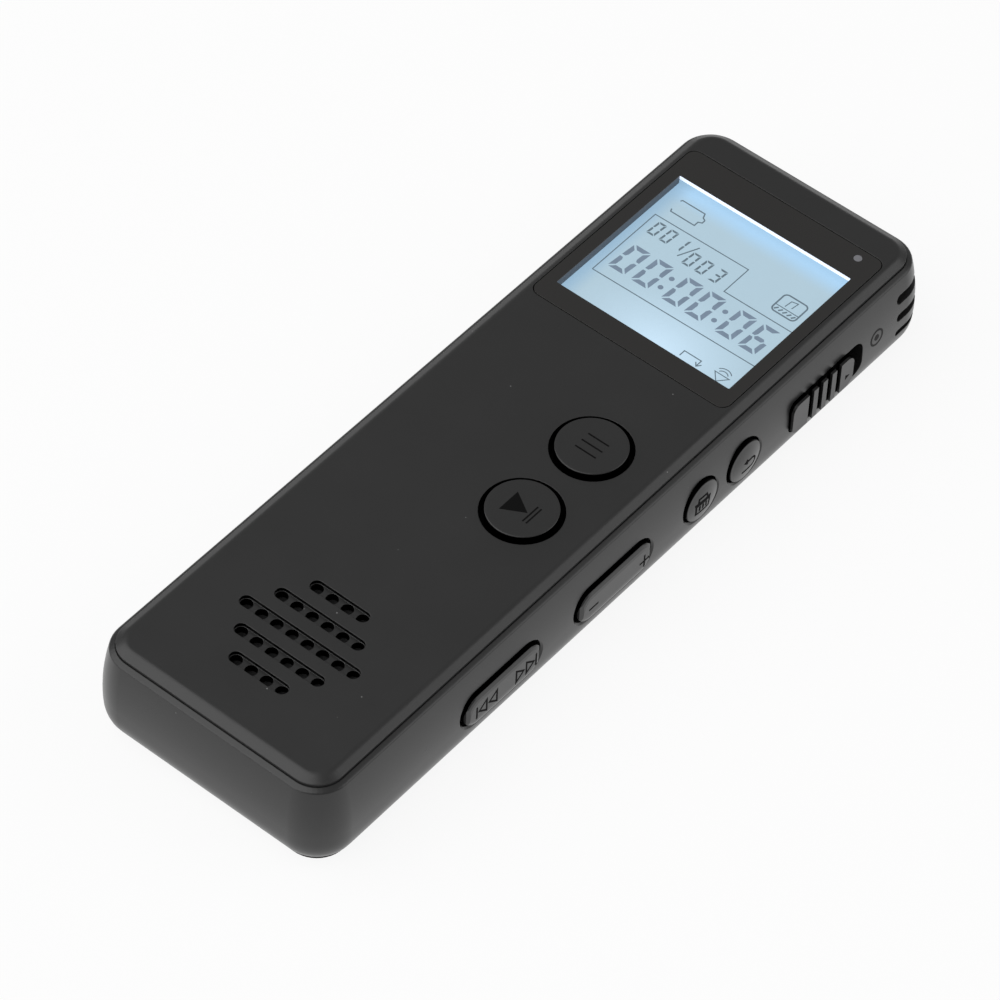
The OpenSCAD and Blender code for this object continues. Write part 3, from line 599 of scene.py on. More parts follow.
@dataclass(frozen=True)
class Rubber:
    """Dull rubber, foam or sheath, with pores of a given size."""

    colour: Colour
    rough: float = 0.75
    pores_per_mm: float = 5.0
    pore_mm: float = 0.02

    def shader(self, m: Maker) -> Socket:
        """Adds the look's nodes and returns its shader."""
        pore = m.cells(self.pores_per_mm)
        cloud = m.noise(1.3, 3.0)
        base = m.mix((pore * 0.7 + cloud * 0.5).at_most(1.0), scaled(self.colour, 0.55), self.colour)
        rough = self.rough + (cloud - 0.5) * 0.2
        return m.surface(m.bumped(pore, self.pore_mm), base_color=base, roughness=rough, specular=0.3)


@dataclass(frozen=True)
class Cloth:
    """Fine woven dust cloth: threads over and under, so many to the millimetre."""

    colour: Colour
    threads_per_mm: float = 3.2

    def shader(self, m: Maker) -> Socket:
        """Adds the nodes; the weave's height is the higher of |sin| across and |cos| along."""
        x, y, _ = m.axes()
        turn = math.pi * self.threads_per_mm
        warp = abs((x * turn).sine())
        weft = abs((y * turn + math.pi / 2).sine())
        weave = warp.at_least(weft)
        fuzz = m.noise(9.0)
        base = m.mix((weave * 0.8 + fuzz * 0.3).at_most(1.0), scaled(self.colour, 0.3), self.colour)
        normal = m.bumped(weave, 0.03)
        return m.surface(normal, base_color=base, roughness=0.9, sheen_weight=0.2)


@dataclass(frozen=True)
class ClearSheet:
    """A thin clear cover: light passes straight through, and its faces mirror a little."""

    rough: float = 0.05

    def shader(self, m: Maker) -> Socket:
        """Adds the look's nodes and returns its shader."""
        smear = m.noise(0.25, 3.0)
        gloss = m.surface(None, base_color=shade(8), roughness=self.rough + smear * 0.04, specular=0.5)
        clear = m.node("ShaderNodeBsdfTransparent", None, {"Color": (0.99, 0.995, 1.0, 1.0)})[0]
        grazing = m.number("ShaderNodeLayerWeight", None, {"Blend": 0.5}, "Facing")
        factor = (grazing**4.0 * 0.6 + 0.025) * (0.75 + smear * 0.3)
        return m.node("ShaderNodeMixShader", None, {0: factor, 1: clear, 2: gloss})[0]


@dataclass(frozen=True)
class LitDisplay:
    """The display's pale blue face, lit from behind: brighter by the lamp and bluer by two edges."""

    left: float
    top: float
    lamp: Pair
    face: Colour = shade(177, 201, 214)
    bright: Colour = shade(210, 236, 255)
    edge: Colour = shade(150, 184, 210)
    top_edge: Colour = shade(173, 212, 243)

    def shader(self, m: Maker) -> Socket:
        """Adds the look's nodes and returns its shader."""
        x, y, _ = m.axes()
        away = ((x - self.lamp[0]) ** 2.0 * 0.6 + (y - self.lamp[1]) ** 2.0) ** 0.5
        cloud = m.noise(0.18, 2.0)
        near = (1 - (away / 10.5).at_most(1.0)) ** 1.5
        by_left = 1 - (x - self.left).step(0.2, 2.6)
        by_top = (y - self.top).step(-3.4, -0.4)
        tint = m.mix(near, self.face, self.bright)
        tint = m.mix(by_top * (0.85 + cloud * 0.3), tint, self.top_edge)
        tint = m.mix(by_left * 0.8, tint, self.edge)
        rough = 0.35 + (cloud - 0.5) * 0.2
        values = {"base_color": shade(60, 70, 76), "roughness": rough, "specular": 0.2}
        return m.surface(None, **values, emission_color=tint, emission_strength=1.0)


@dataclass(frozen=True)
class DisplayInk:
    """Dark crystal of a lit display mark, through which some of the light comes."""

    colour: Colour

    def shader(self, m: Maker) -> Socket:
        """Adds the look's nodes and returns its shader."""
        cloud = m.noise(0.6, 2.0)
        glow = m.mix(cloud, scaled(self.colour, 0.85), scaled(self.colour, 1.15))
        values = {"base_color": shade(30), "roughness": 0.5, "specular": 0.1}
        return m.surface(None, **values, emission_color=glow, emission_strength=0.85)


@dataclass(frozen=True)
class LitPlastic:
    """White or frosted plastic that glows: from within for the display's light guide, and as painted light
    for the light pipe, the status LED and the well strips.
    """

    colour: Colour
    glow: Colour
    strength: float
    rough: float = 0.4

    def shader(self, m: Maker) -> Socket:
        """Adds the look's nodes and returns its shader."""
        cloud = m.noise(0.8, 2.0)
        base = m.mix(cloud, scaled(self.colour, 0.85), self.colour)
        light = m.mix(cloud, scaled(self.glow, 0.85), self.glow)
        values = {"base_color": base, "roughness": self.rough + (cloud - 0.5) * 0.1}
        return m.surface(None, **values, emission_color=light, emission_strength=self.strength)


@dataclass(frozen=True)
class CircuitBoard:
    """Green lacquer over copper tracks."""

    green: Colour = shade(18, 78, 44)
    track: Colour = shade(48, 122, 70)
    turn_per_mm: float = 5.2
    between: float = 0.9

    def shader(self, m: Maker) -> Socket:
        """Adds the nodes; tracks are thin bands of two crossing wave patterns, each in its own patches."""
        x, y, _ = m.axes()
        patch = m.noise(0.22, 1.0).step(0.48, 0.52)
        along = abs((x * self.turn_per_mm).sine()).above(self.between)
        across = abs((y * self.turn_per_mm).sine()).above(self.between)
        tracks = along * patch + across * (1 - patch)
        gloss = m.noise(0.7, 2.0)
        base = m.mix(tracks, self.green, self.track)
        normal = m.bumped(tracks, 0.02, 0.05)
        return m.surface(normal, base_color=base, roughness=0.3 + gloss * 0.15, specular=0.5)


@dataclass(frozen=True)
class Grained:
    """A part with one soft pattern in its tone, gloss and surface, such as fired clay or creased foil."""

    colour: Colour
    per_mm: float = 6.0
    detail: float = 3.0
    noise_rough: float = 0.55
    dark: float = 0.75
    rough: float = 0.45
    rough_change: float = 0.2
    depth_mm: float = 0.004
    edge_mm: float = 0.04
    metallic: float = 0.0

    def shader(self, m: Maker) -> Socket:
        """Adds the look's nodes and returns its shader."""
        grain = m.noise(self.per_mm, self.detail, self.noise_rough)
        base = m.mix(grain, scaled(self.colour, self.dark), self.colour)
        rough = self.rough + (grain - 0.5) * self.rough_change
        normal = m.bumped(grain, self.depth_mm, self.edge_mm)
        return m.surface(normal, base_color=base, roughness=rough, metallic=self.metallic)


FINISHES: dict[str, Finish] = {
    # The black mouldings of the cover and the keys carry painted shade on the sides of their gaps and
    # recesses.
    "cover_black": MouldedPlastic(shade(35, 35, 35), 0.34, 0.5, dust=0.6, shade_below=12.98, unshaded_floor=12.5),
    "frame_black": MouldedPlastic(shade(33, 33, 33), 0.3, 0.5, grain_mm=0.0012, edge_mm=0.1, dust=0.3),
    "back_black": MouldedPlastic(shade(28, 28, 28), 0.7, 0.1, grain_mm=0.004),
    "screw_black": Metal(shade(70, 70, 72), 0.35),
    "panel_black": MouldedPlastic(shade(37, 36, 35), 0.2, 0.5, grain_mm=0.0004, uneven=0.05, edge_mm=0.06),
    "window_clear": ClearSheet(),
    # The light pipe is unlit; its faint grey-blue glow is painted light.
    "lamp_frosted_painted_glow": LitPlastic(shade(112, 112, 116), shade(90, 92, 98), 0.2),
    "guide_white": LitPlastic(shade(225, 232, 240), shade(225, 238, 255), 0.9),
    # The well strips glow with painted light of the display on the well's walls.
    "strip_painted_light": LitPlastic(shade(215, 225, 240), shade(222, 234, 255), 0.86),
    "strip_grey_painted_light": LitPlastic(shade(70, 74, 80), shade(70, 76, 86), 0.4),
    "holder_white": MouldedPlastic(shade(226, 226, 222), 0.5, 0.4),
    "ribbon_amber": MouldedPlastic(shade(190, 120, 34), 0.3, 0.5, edge_mm=0.03),
    "key_black": MouldedPlastic(shade(34, 34, 34), 0.34, 0.5, edge_mm=0.05, dust=0.4, shade_below=13.38),
    "side_key_black": MouldedPlastic(
        shade(33, 33, 33), 0.3, 0.5, grain_mm=0.001, edge_mm=0.06, shade_below=17.0, shade_axis=0
    ),
    "sign_dark": MouldedPlastic(shade(9, 9, 9), 0.8, 0.1, edge_mm=0.0),
    "sign_soft": MouldedPlastic(shade(20, 20, 20), 0.6, 0.2, edge_mm=0.0),
    "plunger_black": MouldedPlastic(shade(44, 44, 46), 0.45, 0.4, edge_mm=0.05),
    "switch_metal": Metal(shade(200, 200, 196), 0.3, edge_mm=0.08),
    "pin_steel": Metal(shade(190, 190, 194), 0.2),
    "board_screw": Metal(shade(198, 196, 188), 0.28),
    "board_green": CircuitBoard(),
    "chip_black": MouldedPlastic(shade(38, 38, 40), 0.55, 0.3, grain_mm=0.004, edge_mm=0.05),
    "part_tan": Grained(shade(176, 148, 112)),
    # The status LED is off; its faint grey-blue glow is painted light.
    "led_painted_glow": LitPlastic(shade(228, 224, 196), shade(120, 124, 134), 0.2, 0.2),
    "basket_grey": MouldedPlastic(shade(58, 58, 60), 0.4, 0.5, edge_mm=0.08),
    "magnet_plated": Metal(shade(188, 188, 192), 0.22),
    "cone_dark": MouldedPlastic(shade(52, 52, 55), 0.5, 0.3, edge_mm=0.0),
    "foam_dark": Rubber(shade(58, 58, 58)),
    "cloth_black": Cloth(shade(14, 14, 15)),
    "lead_red": Rubber(shade(176, 24, 24), 0.4, 3.0, 0.001),
    "lead_black": Rubber(shade(40, 40, 40), 0.4, 3.0, 0.001),
    "lead_yellow": Rubber(shade(196, 168, 40), 0.4, 3.0, 0.001),
    "pouch_silver": Grained(
        shade(196, 198, 204),
        per_mm=0.28,
        detail=4.0,
        noise_rough=0.65,
        dark=0.8,
        rough=0.355,
        rough_change=0.15,
        depth_mm=0.25,
        edge_mm=0.15,
        metallic=0.85,
    ),
    "mic_metal": Metal(shade(208, 208, 208), 0.25),
    "boot_rubber": Rubber(shade(40, 40, 40), 0.7, 6.0, 0.004),
    "socket_black": MouldedPlastic(shade(32, 32, 33), 0.3, 0.5, edge_mm=0.1),
    "port_steel": Metal(shade(190, 190, 194), 0.25, edge_mm=0.06),
}

DRESSED_NODES: dict[str, tuple[str, ...]] = {
    "cover_black": ("front_cover",),
    "back_black": ("back_cover",),
    "screw_black": ("cover_screws",),
    "panel_black": ("display_bezel",),
    "window_clear": ("display_window",),
    "lamp_frosted_painted_glow": ("light_pipe",),
    "guide_white": ("lcd_light_guide",),
    "holder_white": ("lcd_holder",),
    "ribbon_amber": ("lcd_ribbon",),
    "plunger_black": ("menu_plunger", "play_plunger", "delete_plunger", "back_plunger", "record_lever"),
    "switch_metal": ("front_switches", "side_switches", "record_switch"),
    "side_key_black": ("volume_rocker", "skip_rocker", "record_slider"),
    "pin_steel": ("rocker_pins",),
    "board_green": ("main_board",),
    "board_screw": ("board_screws",),
    "chip_black": ("board_chips",),
    "part_tan": ("board_parts",),
    "led_painted_glow": ("status_led",),
    "basket_grey": ("speaker_basket",),
    "magnet_plated": ("speaker_magnet",),
    "cone_dark": ("speaker_cone",),
    "foam_dark": ("speaker_gasket", "battery_foam"),
    "cloth_black": ("speaker_cloth",),
    "pouch_silver": ("battery_pouch",),
    "mic_metal": ("microphones",),
    "boot_rubber": ("mic_boots",),
    "socket_black": ("earphone_socket", "usb_tongue"),
    "port_steel": ("usb_shell",),
    "display_lit": ("lcd_glass",),
}


@cache
def finish(name: str) -> bpy.types.Material:
    """The finish of that name, made on first use."""
    maker = Maker(name)
    return maker.done(FINISHES[name].shader(maker))


def node_box(node: str) -> tuple[np.ndarray, np.ndarray]:
    """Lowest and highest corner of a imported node, in millimetres."""
    low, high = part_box(node)
    return np.array(low) / MM, np.array(high) / MM


def dress(nodes: dict[str, bpy.types.Object]) -> None:
    """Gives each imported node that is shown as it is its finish."""
    for look, names in DRESSED_NODES.items():
        for name in names:
            materials = nodes[name].data.materials
            materials.clear()
            materials.append(finish(look))
    LOG.info("dressed %d packed nodes", sum(len(names) for names in DRESSED_NODES.values()))


@dataclass
class FrameSkin:
    """The side frame as one joined surface, lit as the smooth swell that its flat bands stand for."""

    alike: float = 14.0

    half_w = 16.0
    half_l = 52.5
    corner_r = 4.1
    base_z = 0.7
    swell_z = 5.0
    lip_z = 11.75
    bulge = 0.85
    tuck = 0.25
    lip_out = 0.0
    upper_power = 1.9
    lower_power = 3.5

    @classmethod
    def swell(cls, z: float) -> float:
        """Outward offset of the wall at a height.

        From the widest height it falls off with one power of the way up to the lip, and with another of the
        way down to the base.
        """
        if z > cls.swell_z:
            way = (z - cls.swell_z) / (cls.lip_z - cls.swell_z)
            return cls.bulge - (cls.bulge - cls.lip_out) * way**cls.upper_power
        way = (cls.swell_z - z) / (cls.swell_z - cls.base_z)
        return cls.bulge - (cls.bulge + cls.tuck) * way**cls.lower_power

    @classmethod
    def facing(cls, points: np.ndarray) -> np.ndarray:
        """Directions that the smooth wall faces: away from its inner rectangle, tilted by its slope."""
        core = np.array([cls.half_w - cls.corner_r, cls.half_l - cls.corner_r])
        flat = points[:, :2] - np.clip(points[:, :2], -core, core)
        flat /= np.maximum(np.linalg.norm(flat, axis=1), 1e-6)[:, None]
        z = np.clip(points[:, 2], cls.base_z, cls.lip_z)
        over, under = cls.lip_z - cls.swell_z, cls.swell_z - cls.base_z
        up = (np.maximum(z - cls.swell_z, 0) / over) ** (cls.upper_power - 1)
        down = (np.maximum(cls.swell_z - z, 0) / under) ** (cls.lower_power - 1)
        slope = cls.lower_power * (cls.bulge + cls.tuck) / under * down
        slope -= cls.upper_power * (cls.bulge - cls.lip_out) / over * up
        whole = np.c_[flat, -slope]
        return whole / np.linalg.norm(whole, axis=1)[:, None]

    def build(self, nodes: dict[str, bpy.types.Object]) -> None:
        """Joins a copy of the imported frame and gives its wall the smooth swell's directions."""
        mesh = nodes["side_frame"].data.copy()
        mesh.name = "side_frame_skin"
        work = bmesh.new()
        work.from_mesh(mesh)
        bmesh.ops.remove_doubles(work, verts=work.verts, dist=1e-7)
        work.to_mesh(mesh)
        work.free()
        count = len(mesh.loops)
        spots = np.empty(len(mesh.vertices) * 3)
        mesh.vertices.foreach_get("co", spots)
        owners = np.empty(count, int)
        mesh.loops.foreach_get("vertex_index", owners)
        sizes = np.array([polygon.loop_total for polygon in mesh.polygons])
        faces = np.repeat(np.array([polygon.normal for polygon in mesh.polygons]), sizes, axis=0)
        smooth = self.facing(spots.reshape(-1, 3)[owners] / MM)
        near = (smooth * faces).sum(axis=1) > math.cos(math.radians(self.alike))
        whole = np.repeat(np.logical_and.reduceat(near, np.r_[0, np.cumsum(sizes)[:-1]]), sizes)
        mesh.polygons.foreach_set("use_smooth", np.ones(len(mesh.polygons), bool))
        mesh.normals_split_custom_set(np.where(whole[:, None], smooth, faces).tolist())
        mesh.materials.clear()
        mesh.materials.append(finish("frame_black"))
        piece = added("side_frame_skin", mesh)
        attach(piece, "casing")
        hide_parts("side_frame")
        LOG.info("smoothed the side frame, %d of %d corners on its wall", int(whole.sum()), count)


@dataclass
class Signs:
    """Flat signs drawn with lines of one width, sunk into or printed on a key."""

    width: float = 0.2
    lift: float = 0.012
    depth: float = 0.05
    step: float = 4.0

    def divided(self, path: list, closed: bool) -> np.ndarray:
        """The path with points added, so that no straight piece of it is longer than the step."""
        corners = np.array(path, float)
        ends = np.roll(corners, -1, axis=0) if closed else corners[1:]
        points = [] if closed else [corners[-1:]]
        pieces = []
        for start, end in zip(corners, ends):
            count = max(1, math.ceil(np.linalg.norm(end - start) / self.step))
            pieces.append(start + (end - start) * (np.arange(count) / count)[:, None])
        return np.vstack(pieces + points)

    def lines(self, paths: list[tuple[np.ndarray, bool]], height: float) -> Shell:
        """One shell of all the lines of a sign.

        Args:
            paths: each path and whether it is closed, in millimetres from the sign's middle.
            height: height of the face that carries the sign.

        Returns:
            The lines, whose top stands just above the face.
        """
        low, high = height - self.depth, height + self.lift
        drawn = [(self.divided(path, closed), closed) for path, closed in paths]
        return Shell.joined([stroke(path, self.width, low, high, closed) for path, closed in drawn])

    def menu(self, height: float) -> Shell:
        """Three short bars, the common sign for a menu."""
        return self.lines([([[-1.45, v], [1.45, v]], False) for v in (1.15, 0.0, -1.15)], height)

    def play_pause(self, height: float) -> Shell:
        """A filled triangle with two bars beside it."""
        low, high = height - self.depth, height + self.lift
        triangle = plate(np.array([[-1.85, 1.5], [-1.85, -1.7], [0.85, -0.15]]), low, high)
        bars = self.lines([([[u, 1.25], [u, -1.4]], False) for u in (1.2, 1.68)], height)
        return Shell.joined([triangle, bars])

    def minus(self, height: float) -> Shell:
        """One short bar."""
        return self.lines([([[-0.8, 0], [0.8, 0]], False)], height)

    def plus(self, height: float) -> Shell:
        """Two crossing bars."""
        paths = [([[-0.82, 0], [0.82, 0]], False), ([[0, 0.95], [0, self.width / 2]], False)]
        return self.lines(paths + [([[0, -self.width / 2], [0, -0.95]], False)], height)

    def skip(self, height: float, way: int) -> Shell:
        """Two triangles and an end bar; way is 1 for forwards and -1 for backwards."""
        shapes = [([[s, 0.9], [s + 1.25, 0], [s, -0.9]], True) for s in (-1.65, 0.05)]
        shapes += [([[1.68, 0.95], [1.68, -0.95]], False)]
        return self.lines([([[way * u, v] for u, v in path], closed) for path, closed in shapes], height)

    def bin(self, height: float) -> Shell:
        """A bin with a lid, a handle and three ribs."""
        paths = [([[-1.15, 0.05], [-1.08, -1.3], [1.08, -1.3], [1.15, 0.05]], True)]
        paths += [([[-1.35, 0.32], [1.35, 0.32]], False)]
        paths += [([[-0.78, 0.45], [-0.66, 0.95], [0.66, 0.95], [0.78, 0.45]], False)]
        paths += [([[u, -0.2], [u, -0.95]], False) for u in (-0.55, 0.0, 0.55)]
        return self.lines(paths, height)

    def back(self, height: float) -> Shell:
        """An arrow that turns back on itself."""
        bend = arc_path((1.05, -0.61), 0.68, 90, -90)
        body = np.vstack([[[0.0, 0.07]], bend, [[-0.57, -1.29]]])
        head = [[0.25, 0.4], [-0.17, 0.07], [0.25, -0.26]]
        return self.lines([(body, False), (head, False)], height)

    def record(self, height: float) -> Shell:
        """A ring round a dot, the common sign for recording."""
        low, high = height - self.depth, height + self.lift
        dot = plate(arc_path((0, 0), 0.42, 0, 345, 24), low, high)
        ring = arc_path((0, 0), 1.05, 0, 350, 36)
        return Shell.joined([self.lines([(ring, True)], height), dot])


@dataclass
class FrontKey:
    """A round key of the front face: cap, flange and foot as one turned piece, with its sign."""

    node: str
    body: str
    sign: str
    rounding: float = 0.1
    dish: float = 0.02
    foot_r: float = 1.5
    flange_h: float = 0.7
    cap_below_flange: float = 1.25
    cover_t: float = 1.5

    def build(self) -> None:
        """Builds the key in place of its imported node, and its sign."""
        low, high = node_box(self.node)
        middle = (low + high) / 2
        flange_r = (high[0] - low[0]) / 2
        cap_r, top, foot = flange_r - self.cap_below_flange, high[2], low[2]
        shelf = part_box("front_cover")[1][2] / MM - self.cover_t
        flange = shelf - self.flange_h
        bend = fillet((cap_r, top - self.rounding), (cap_r - self.rounding, top))
        steps = np.linspace(cap_r - self.rounding, 0, 9)[1:]
        crown = np.c_[steps, top - self.dish * (1 - (steps / cap_r) ** 2)]
        foot_line = [[0, foot], [self.foot_r, foot], [self.foot_r, flange], [flange_r, flange]]
        profile = np.vstack([foot_line, [[flange_r, shelf], [cap_r, shelf]], bend, crown])
        cap = lathe(profile, 128).moved((middle[0], middle[1], 0))
        make_piece(f"{self.node}_cap", cap, "key_black", self.body, (self.node,))
        signs = Signs(width=FRONT_LINE)
        flat = {"menu": signs.menu, "play": signs.play_pause}[self.sign](top)
        sign = flat.moved((middle[0], middle[1], 0))
        make_piece(f"{self.node}_sign", sign, "sign_dark", self.body)
        LOG.info("built %s", self.node)


@dataclass
class SideKey:
    """A round key of the side: cap, flange and foot turned about the X axis, with its sign."""

    node: str
    body: str
    sign: str
    shift: Pair = (0.0, 0.0)
    rounding: float = 0.15
    crown: float = 0.3
    foot_r: float = 1.2
    foot_h: float = 0.9
    flange_t: float = 0.7
    cap_below_flange: float = 0.65

    def build(self) -> None:
        """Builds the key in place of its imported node, and its sign."""
        low, high = node_box(self.node)
        middle = (low + high) / 2
        flange_r = (high[1] - low[1]) / 2
        cap_r, tip, foot = flange_r - self.cap_below_flange, high[0], low[0]
        wall, dome_r, brow = foot + self.foot_h + self.flange_t, cap_r - self.rounding, tip - self.crown
        flange = wall - self.flange_t
        bend = fillet((cap_r, brow - self.rounding), (dome_r, brow))
        steps = np.linspace(dome_r, 0, 9)[1:]
        crown = np.c_[steps, tip - self.crown * (steps / dome_r) ** 2]
        foot_line = [[0, foot], [self.foot_r, foot], [self.foot_r, flange], [flange_r, flange]]
        profile = np.vstack([foot_line, [[flange_r, wall], [cap_r, wall]], bend, crown])
        turned = lathe(profile, 96)
        at = (0, middle[1], middle[2])
        cap = turned.on_side().moved(at)
        make_piece(f"{self.node}_cap", cap, "side_key_black", self.body, (self.node,))
        signs = Signs(width=SIDE_LINE, lift=0.02, depth=0.12, step=0.35)
        flat = {"bin": signs.bin, "back": signs.back}[self.sign](tip)
        sign = flat.on_side().moved((0, *self.shift))
        sign.points[:, 0] -= self.crown * (sign.points[:, 1:] ** 2).sum(axis=1) / dome_r**2
        sign = sign.moved(at)
        make_piece(f"{self.node}_sign", sign, "sign_dark", self.body)
        LOG.info("built %s", self.node)


@dataclass
class RockerSigns:
    """The signs at the two ends of a side rocker."""

    node: str
    body: str
    low_sign: str
    high_sign: str
    low_at: Pair
    high_at: Pair

    def build(self) -> None:
        """Builds both signs on the rocker's outer face."""
        low, high = node_box(self.node)
        middle = (low + high) / 2
        signs = Signs(width=SIDE_LINE, lift=0.012, depth=0.1)
        drawn = {
            "minus": signs.minus(high[0]),
            "plus": signs.plus(high[0]),
            "skip_back": signs.skip(high[0], -1),
            "skip_on": signs.skip(high[0], 1),
        }
        shells = [
            drawn[sign].on_side().moved((0, middle[1] + u, middle[2] + v))
            for sign, (u, v) in ((self.low_sign, self.low_at), (self.high_sign, self.high_at))
        ]
        make_piece(f"{self.node}_signs", Shell.joined(shells), "sign_dark", self.body)
        LOG.info("signed %s", self.node)


@dataclass
class RecordMarks:
    """The arrow on the record knob and the sign for recording on the frame beside it."""

    arrow: float = 0.5
    lift: float = 0.012
    depth: float = 0.1
    knob_at: Pair = (4.4, -0.5)
    ring_at: Pair = (42.7, 6.5)

    def build(self) -> None:
        """Builds the arrow, which moves with the knob, and the ring with its dot, which does not."""
        low, high = node_box("record_slider")
        middle = (low + high) / 2
        size = self.arrow
        outline = np.array([[-size * 0.6, -size * 0.75], [size, 0.0], [-size * 0.6, size * 0.75]])
        flat = plate(outline, high[0] - self.depth, high[0] + self.lift)
        place = (0, middle[1] + self.knob_at[0], middle[2] + self.knob_at[1])
        arrow = flat.on_side().moved(place)
        make_piece("record_knob_arrow", arrow, "sign_dark", "record_key")
        flat = Signs(width=SIDE_LINE, lift=0.02, depth=0.15).record(FrameSkin.half_w)
        ring = flat.on_side().moved((0, *self.ring_at))
        ring.points[:, 0] += [FrameSkin.swell(z) for z in ring.points[:, 2]]
        make_piece("record_sign", ring, "sign_soft", "casing")
        LOG.info("built the record marks")


@dataclass
class DisplayMarks:
    """What the display shows: counters made of straight segments, ruled lines and small signs.

    Places are millimetres across from the middle line and along the body, as on the display's upper face.
    """

    big_size: Pair = (2.42, 4.6)
    big_bar: float = 0.6
    big_base: float = 27.1
    dot_r: float = 0.34
    small_size: Pair = (1.15, 2.3)
    small_bar: float = 0.26
    slant: float = 0.085
    ink_t: float = 0.02
    ink_gap: float = 0.004

    SEGMENTS = {"0": "abcdef", "1": "bc", "3": "abcdg", "6": "acdefg"}

    def digit(self, figure: str, corner: Pair, size: Pair, bar: float) -> list[np.ndarray]:
        """Outlines of the lit segments of one figure.

        Args:
            figure: the figure shown.
            corner: its low left corner.
            size: its width and height.
            bar: width of a segment.

        Returns:
            One outline for each lit segment, leaning by the slant.
        """
        w, h = size
        gap = bar * 0.3
        mid = h / 2
        flat_bar = np.array([[gap, 0], [w - gap, 0], [w - bar - gap, bar], [bar + gap, bar]])
        upright = [[0, gap], [0, mid - gap], [bar * 0.7, mid - gap]]
        upright = np.array(upright + [[bar, mid - bar * 0.6 - gap], [bar, bar + gap]])
        tip = bar * 0.55 + gap
        middle = [[tip, 0], [bar + gap, -bar / 2], [w - bar - gap, -bar / 2]]
        middle = np.array(middle + [[w - tip, 0], [w - bar - gap, bar / 2], [bar + gap, bar / 2]])
        shapes = {
            "d": flat_bar,
            "a": flat_bar * [1, -1] + [0, h],
            "g": middle + [0, mid],
            "e": upright,
            "f": upright * [1, -1] + [0, h],
            "c": upright * [-1, 1] + [w, 0],
            "b": upright * [-1, -1] + [w, h],
        }
        lit = [shapes[key] for key in self.SEGMENTS[figure]]
        return [np.c_[s[:, 0] + self.slant * s[:, 1], s[:, 1]] + np.array(corner) for s in lit]

    def build(self) -> None:
        """Builds every mark as thin pieces on the display glass."""
        top = node_box("lcd_glass")[1][2]
        low, high = top + self.ink_gap, top + self.ink_gap + self.ink_t
        big = [
            outline
            for figure, left in zip("000006", (-10.35, -7.0, -2.65, 0.6, 5.0, 8.3))
            for outline in self.digit(figure, (left, self.big_base), self.big_size, self.big_bar)
        ]
        colons = ((-3.45, 30.2), (-3.6, 28.35), (4.25, 30.2), (4.1, 28.35))
        dots = [arc_path(at, self.dot_r, 0, 342, 19) for at in colons]
        lefts, bases = (-10.3, -8.5, -6.7, -4.3, -2.45, -0.5), (34.05,) * 3 + (32.9,) * 3
        small = [
            outline
            for figure, *corner in zip("001003", lefts, bases)
            for outline in self.digit(figure, corner, self.small_size, self.small_bar)
        ]
        clock, count = (Shell.joined([plate(o, low, high) for o in marks]) for marks in (big + dots, small))
        make_piece("display_clock", clock, "ink_strong", "casing")
        make_piece("display_count", count, "ink_thin", "casing")
        rules = [
            ([[-11.2, 25.5], [-11.2, 36.95], [2.2, 37.1], [2.2, 32.6], [12.3, 32.65]], False, 0.13),
            ([[-11.2, 25.5], [12.3, 25.8]], False, 0.13),
            ([[-5.25, 33.45], [-4.05, 36.1]], False, 0.16),
            ([[-10.35, 40.5], [-10.2, 40.75], [-6.95, 40.75], [-6.7, 40.1], [-6.3, 39.9]], False, 0.16),
            (
                [[-6.3, 39.9], [-6.3, 39.4], [-6.75, 39.2], [-6.75, 38.5], [-10.2, 38.5], [-10.35, 38.9]],
                False,
                0.16,
            ),
            ([[8.95, 22.35], [10.95, 22.35], [9.95, 21.2]], True, 0.12),
            (arc_path((9.95, 22.2), 0.75, 35, 145), False, 0.12),
            (arc_path((9.95, 22.2), 1.15, 40, 140), False, 0.12),
            ([[8.8, 35.3], [8.95, 36.4], [9.75, 36.6], [9.6, 35.5]], False, 0.12),
            ([[4.5, 21.6], [4.5, 22.5], [6.9, 22.5], [6.9, 21.6]], False, 0.14),
            ([[6.5, 22.0], [6.9, 21.5], [7.3, 22.0]], False, 0.14),
        ]
        lines = [stroke(np.array(path), width, low, high, closed) for path, closed, width in rules]
        box = rounded_outline((1.65, 1.5), 0.55) + [9.35, 35.5]
        lines += [stroke(box, 0.2, low, high, True)]
        lines += [stroke(np.array([[7.7, 35.0], [11.0, 35.0]]), 0.12, low, high)]
        hatch = [np.array([[u, 34.3], [u + 0.35, 34.75]]) for u in np.linspace(8.0, 10.4, 5)]
        lines += [stroke(path, 0.2, low, high) for path in hatch]
        make_piece("display_lines", Shell.joined(lines), "ink_thin", "casing")
        LOG.info("built the display's marks")


@dataclass
class DisplayWell:
    """Strips that line the well between panel and display, glowing with painted light from the display:
    bright at the far side, dim grey at the left.
    """

    strip_t: float = 0.06
    half_w: float = 12.35
    low_y: float = 20.4
    high_y: float = 42.8
    far_from: float = 0.55
    left_short: float = 0.1
    above_glass: float = 0.01
    below_face: float = 0.03

    def build(self) -> None:
        """Builds both strips between the display glass and just under the panel's face."""
        bottom = node_box("lcd_glass")[1][2] + self.above_glass
        top = node_box("display_bezel")[1][2] - self.below_face
        far_bottom = bottom + (top - bottom) * self.far_from
        wall, left_end = -self.half_w, self.high_y - self.left_short
        far = rectangle((wall, self.high_y - self.strip_t), (self.half_w, self.high_y))
        left = rectangle((wall, self.low_y), (wall + self.strip_t, left_end))
        # Both strips glow: painted light of the display on the well's walls.
        make_piece("well_strip_far", plate(far, far_bottom, top), "strip_painted_light", "casing")
        make_piece("well_strip_left", plate(left, bottom, top), "strip_grey_painted_light", "casing")
        LOG.info("built the display well")


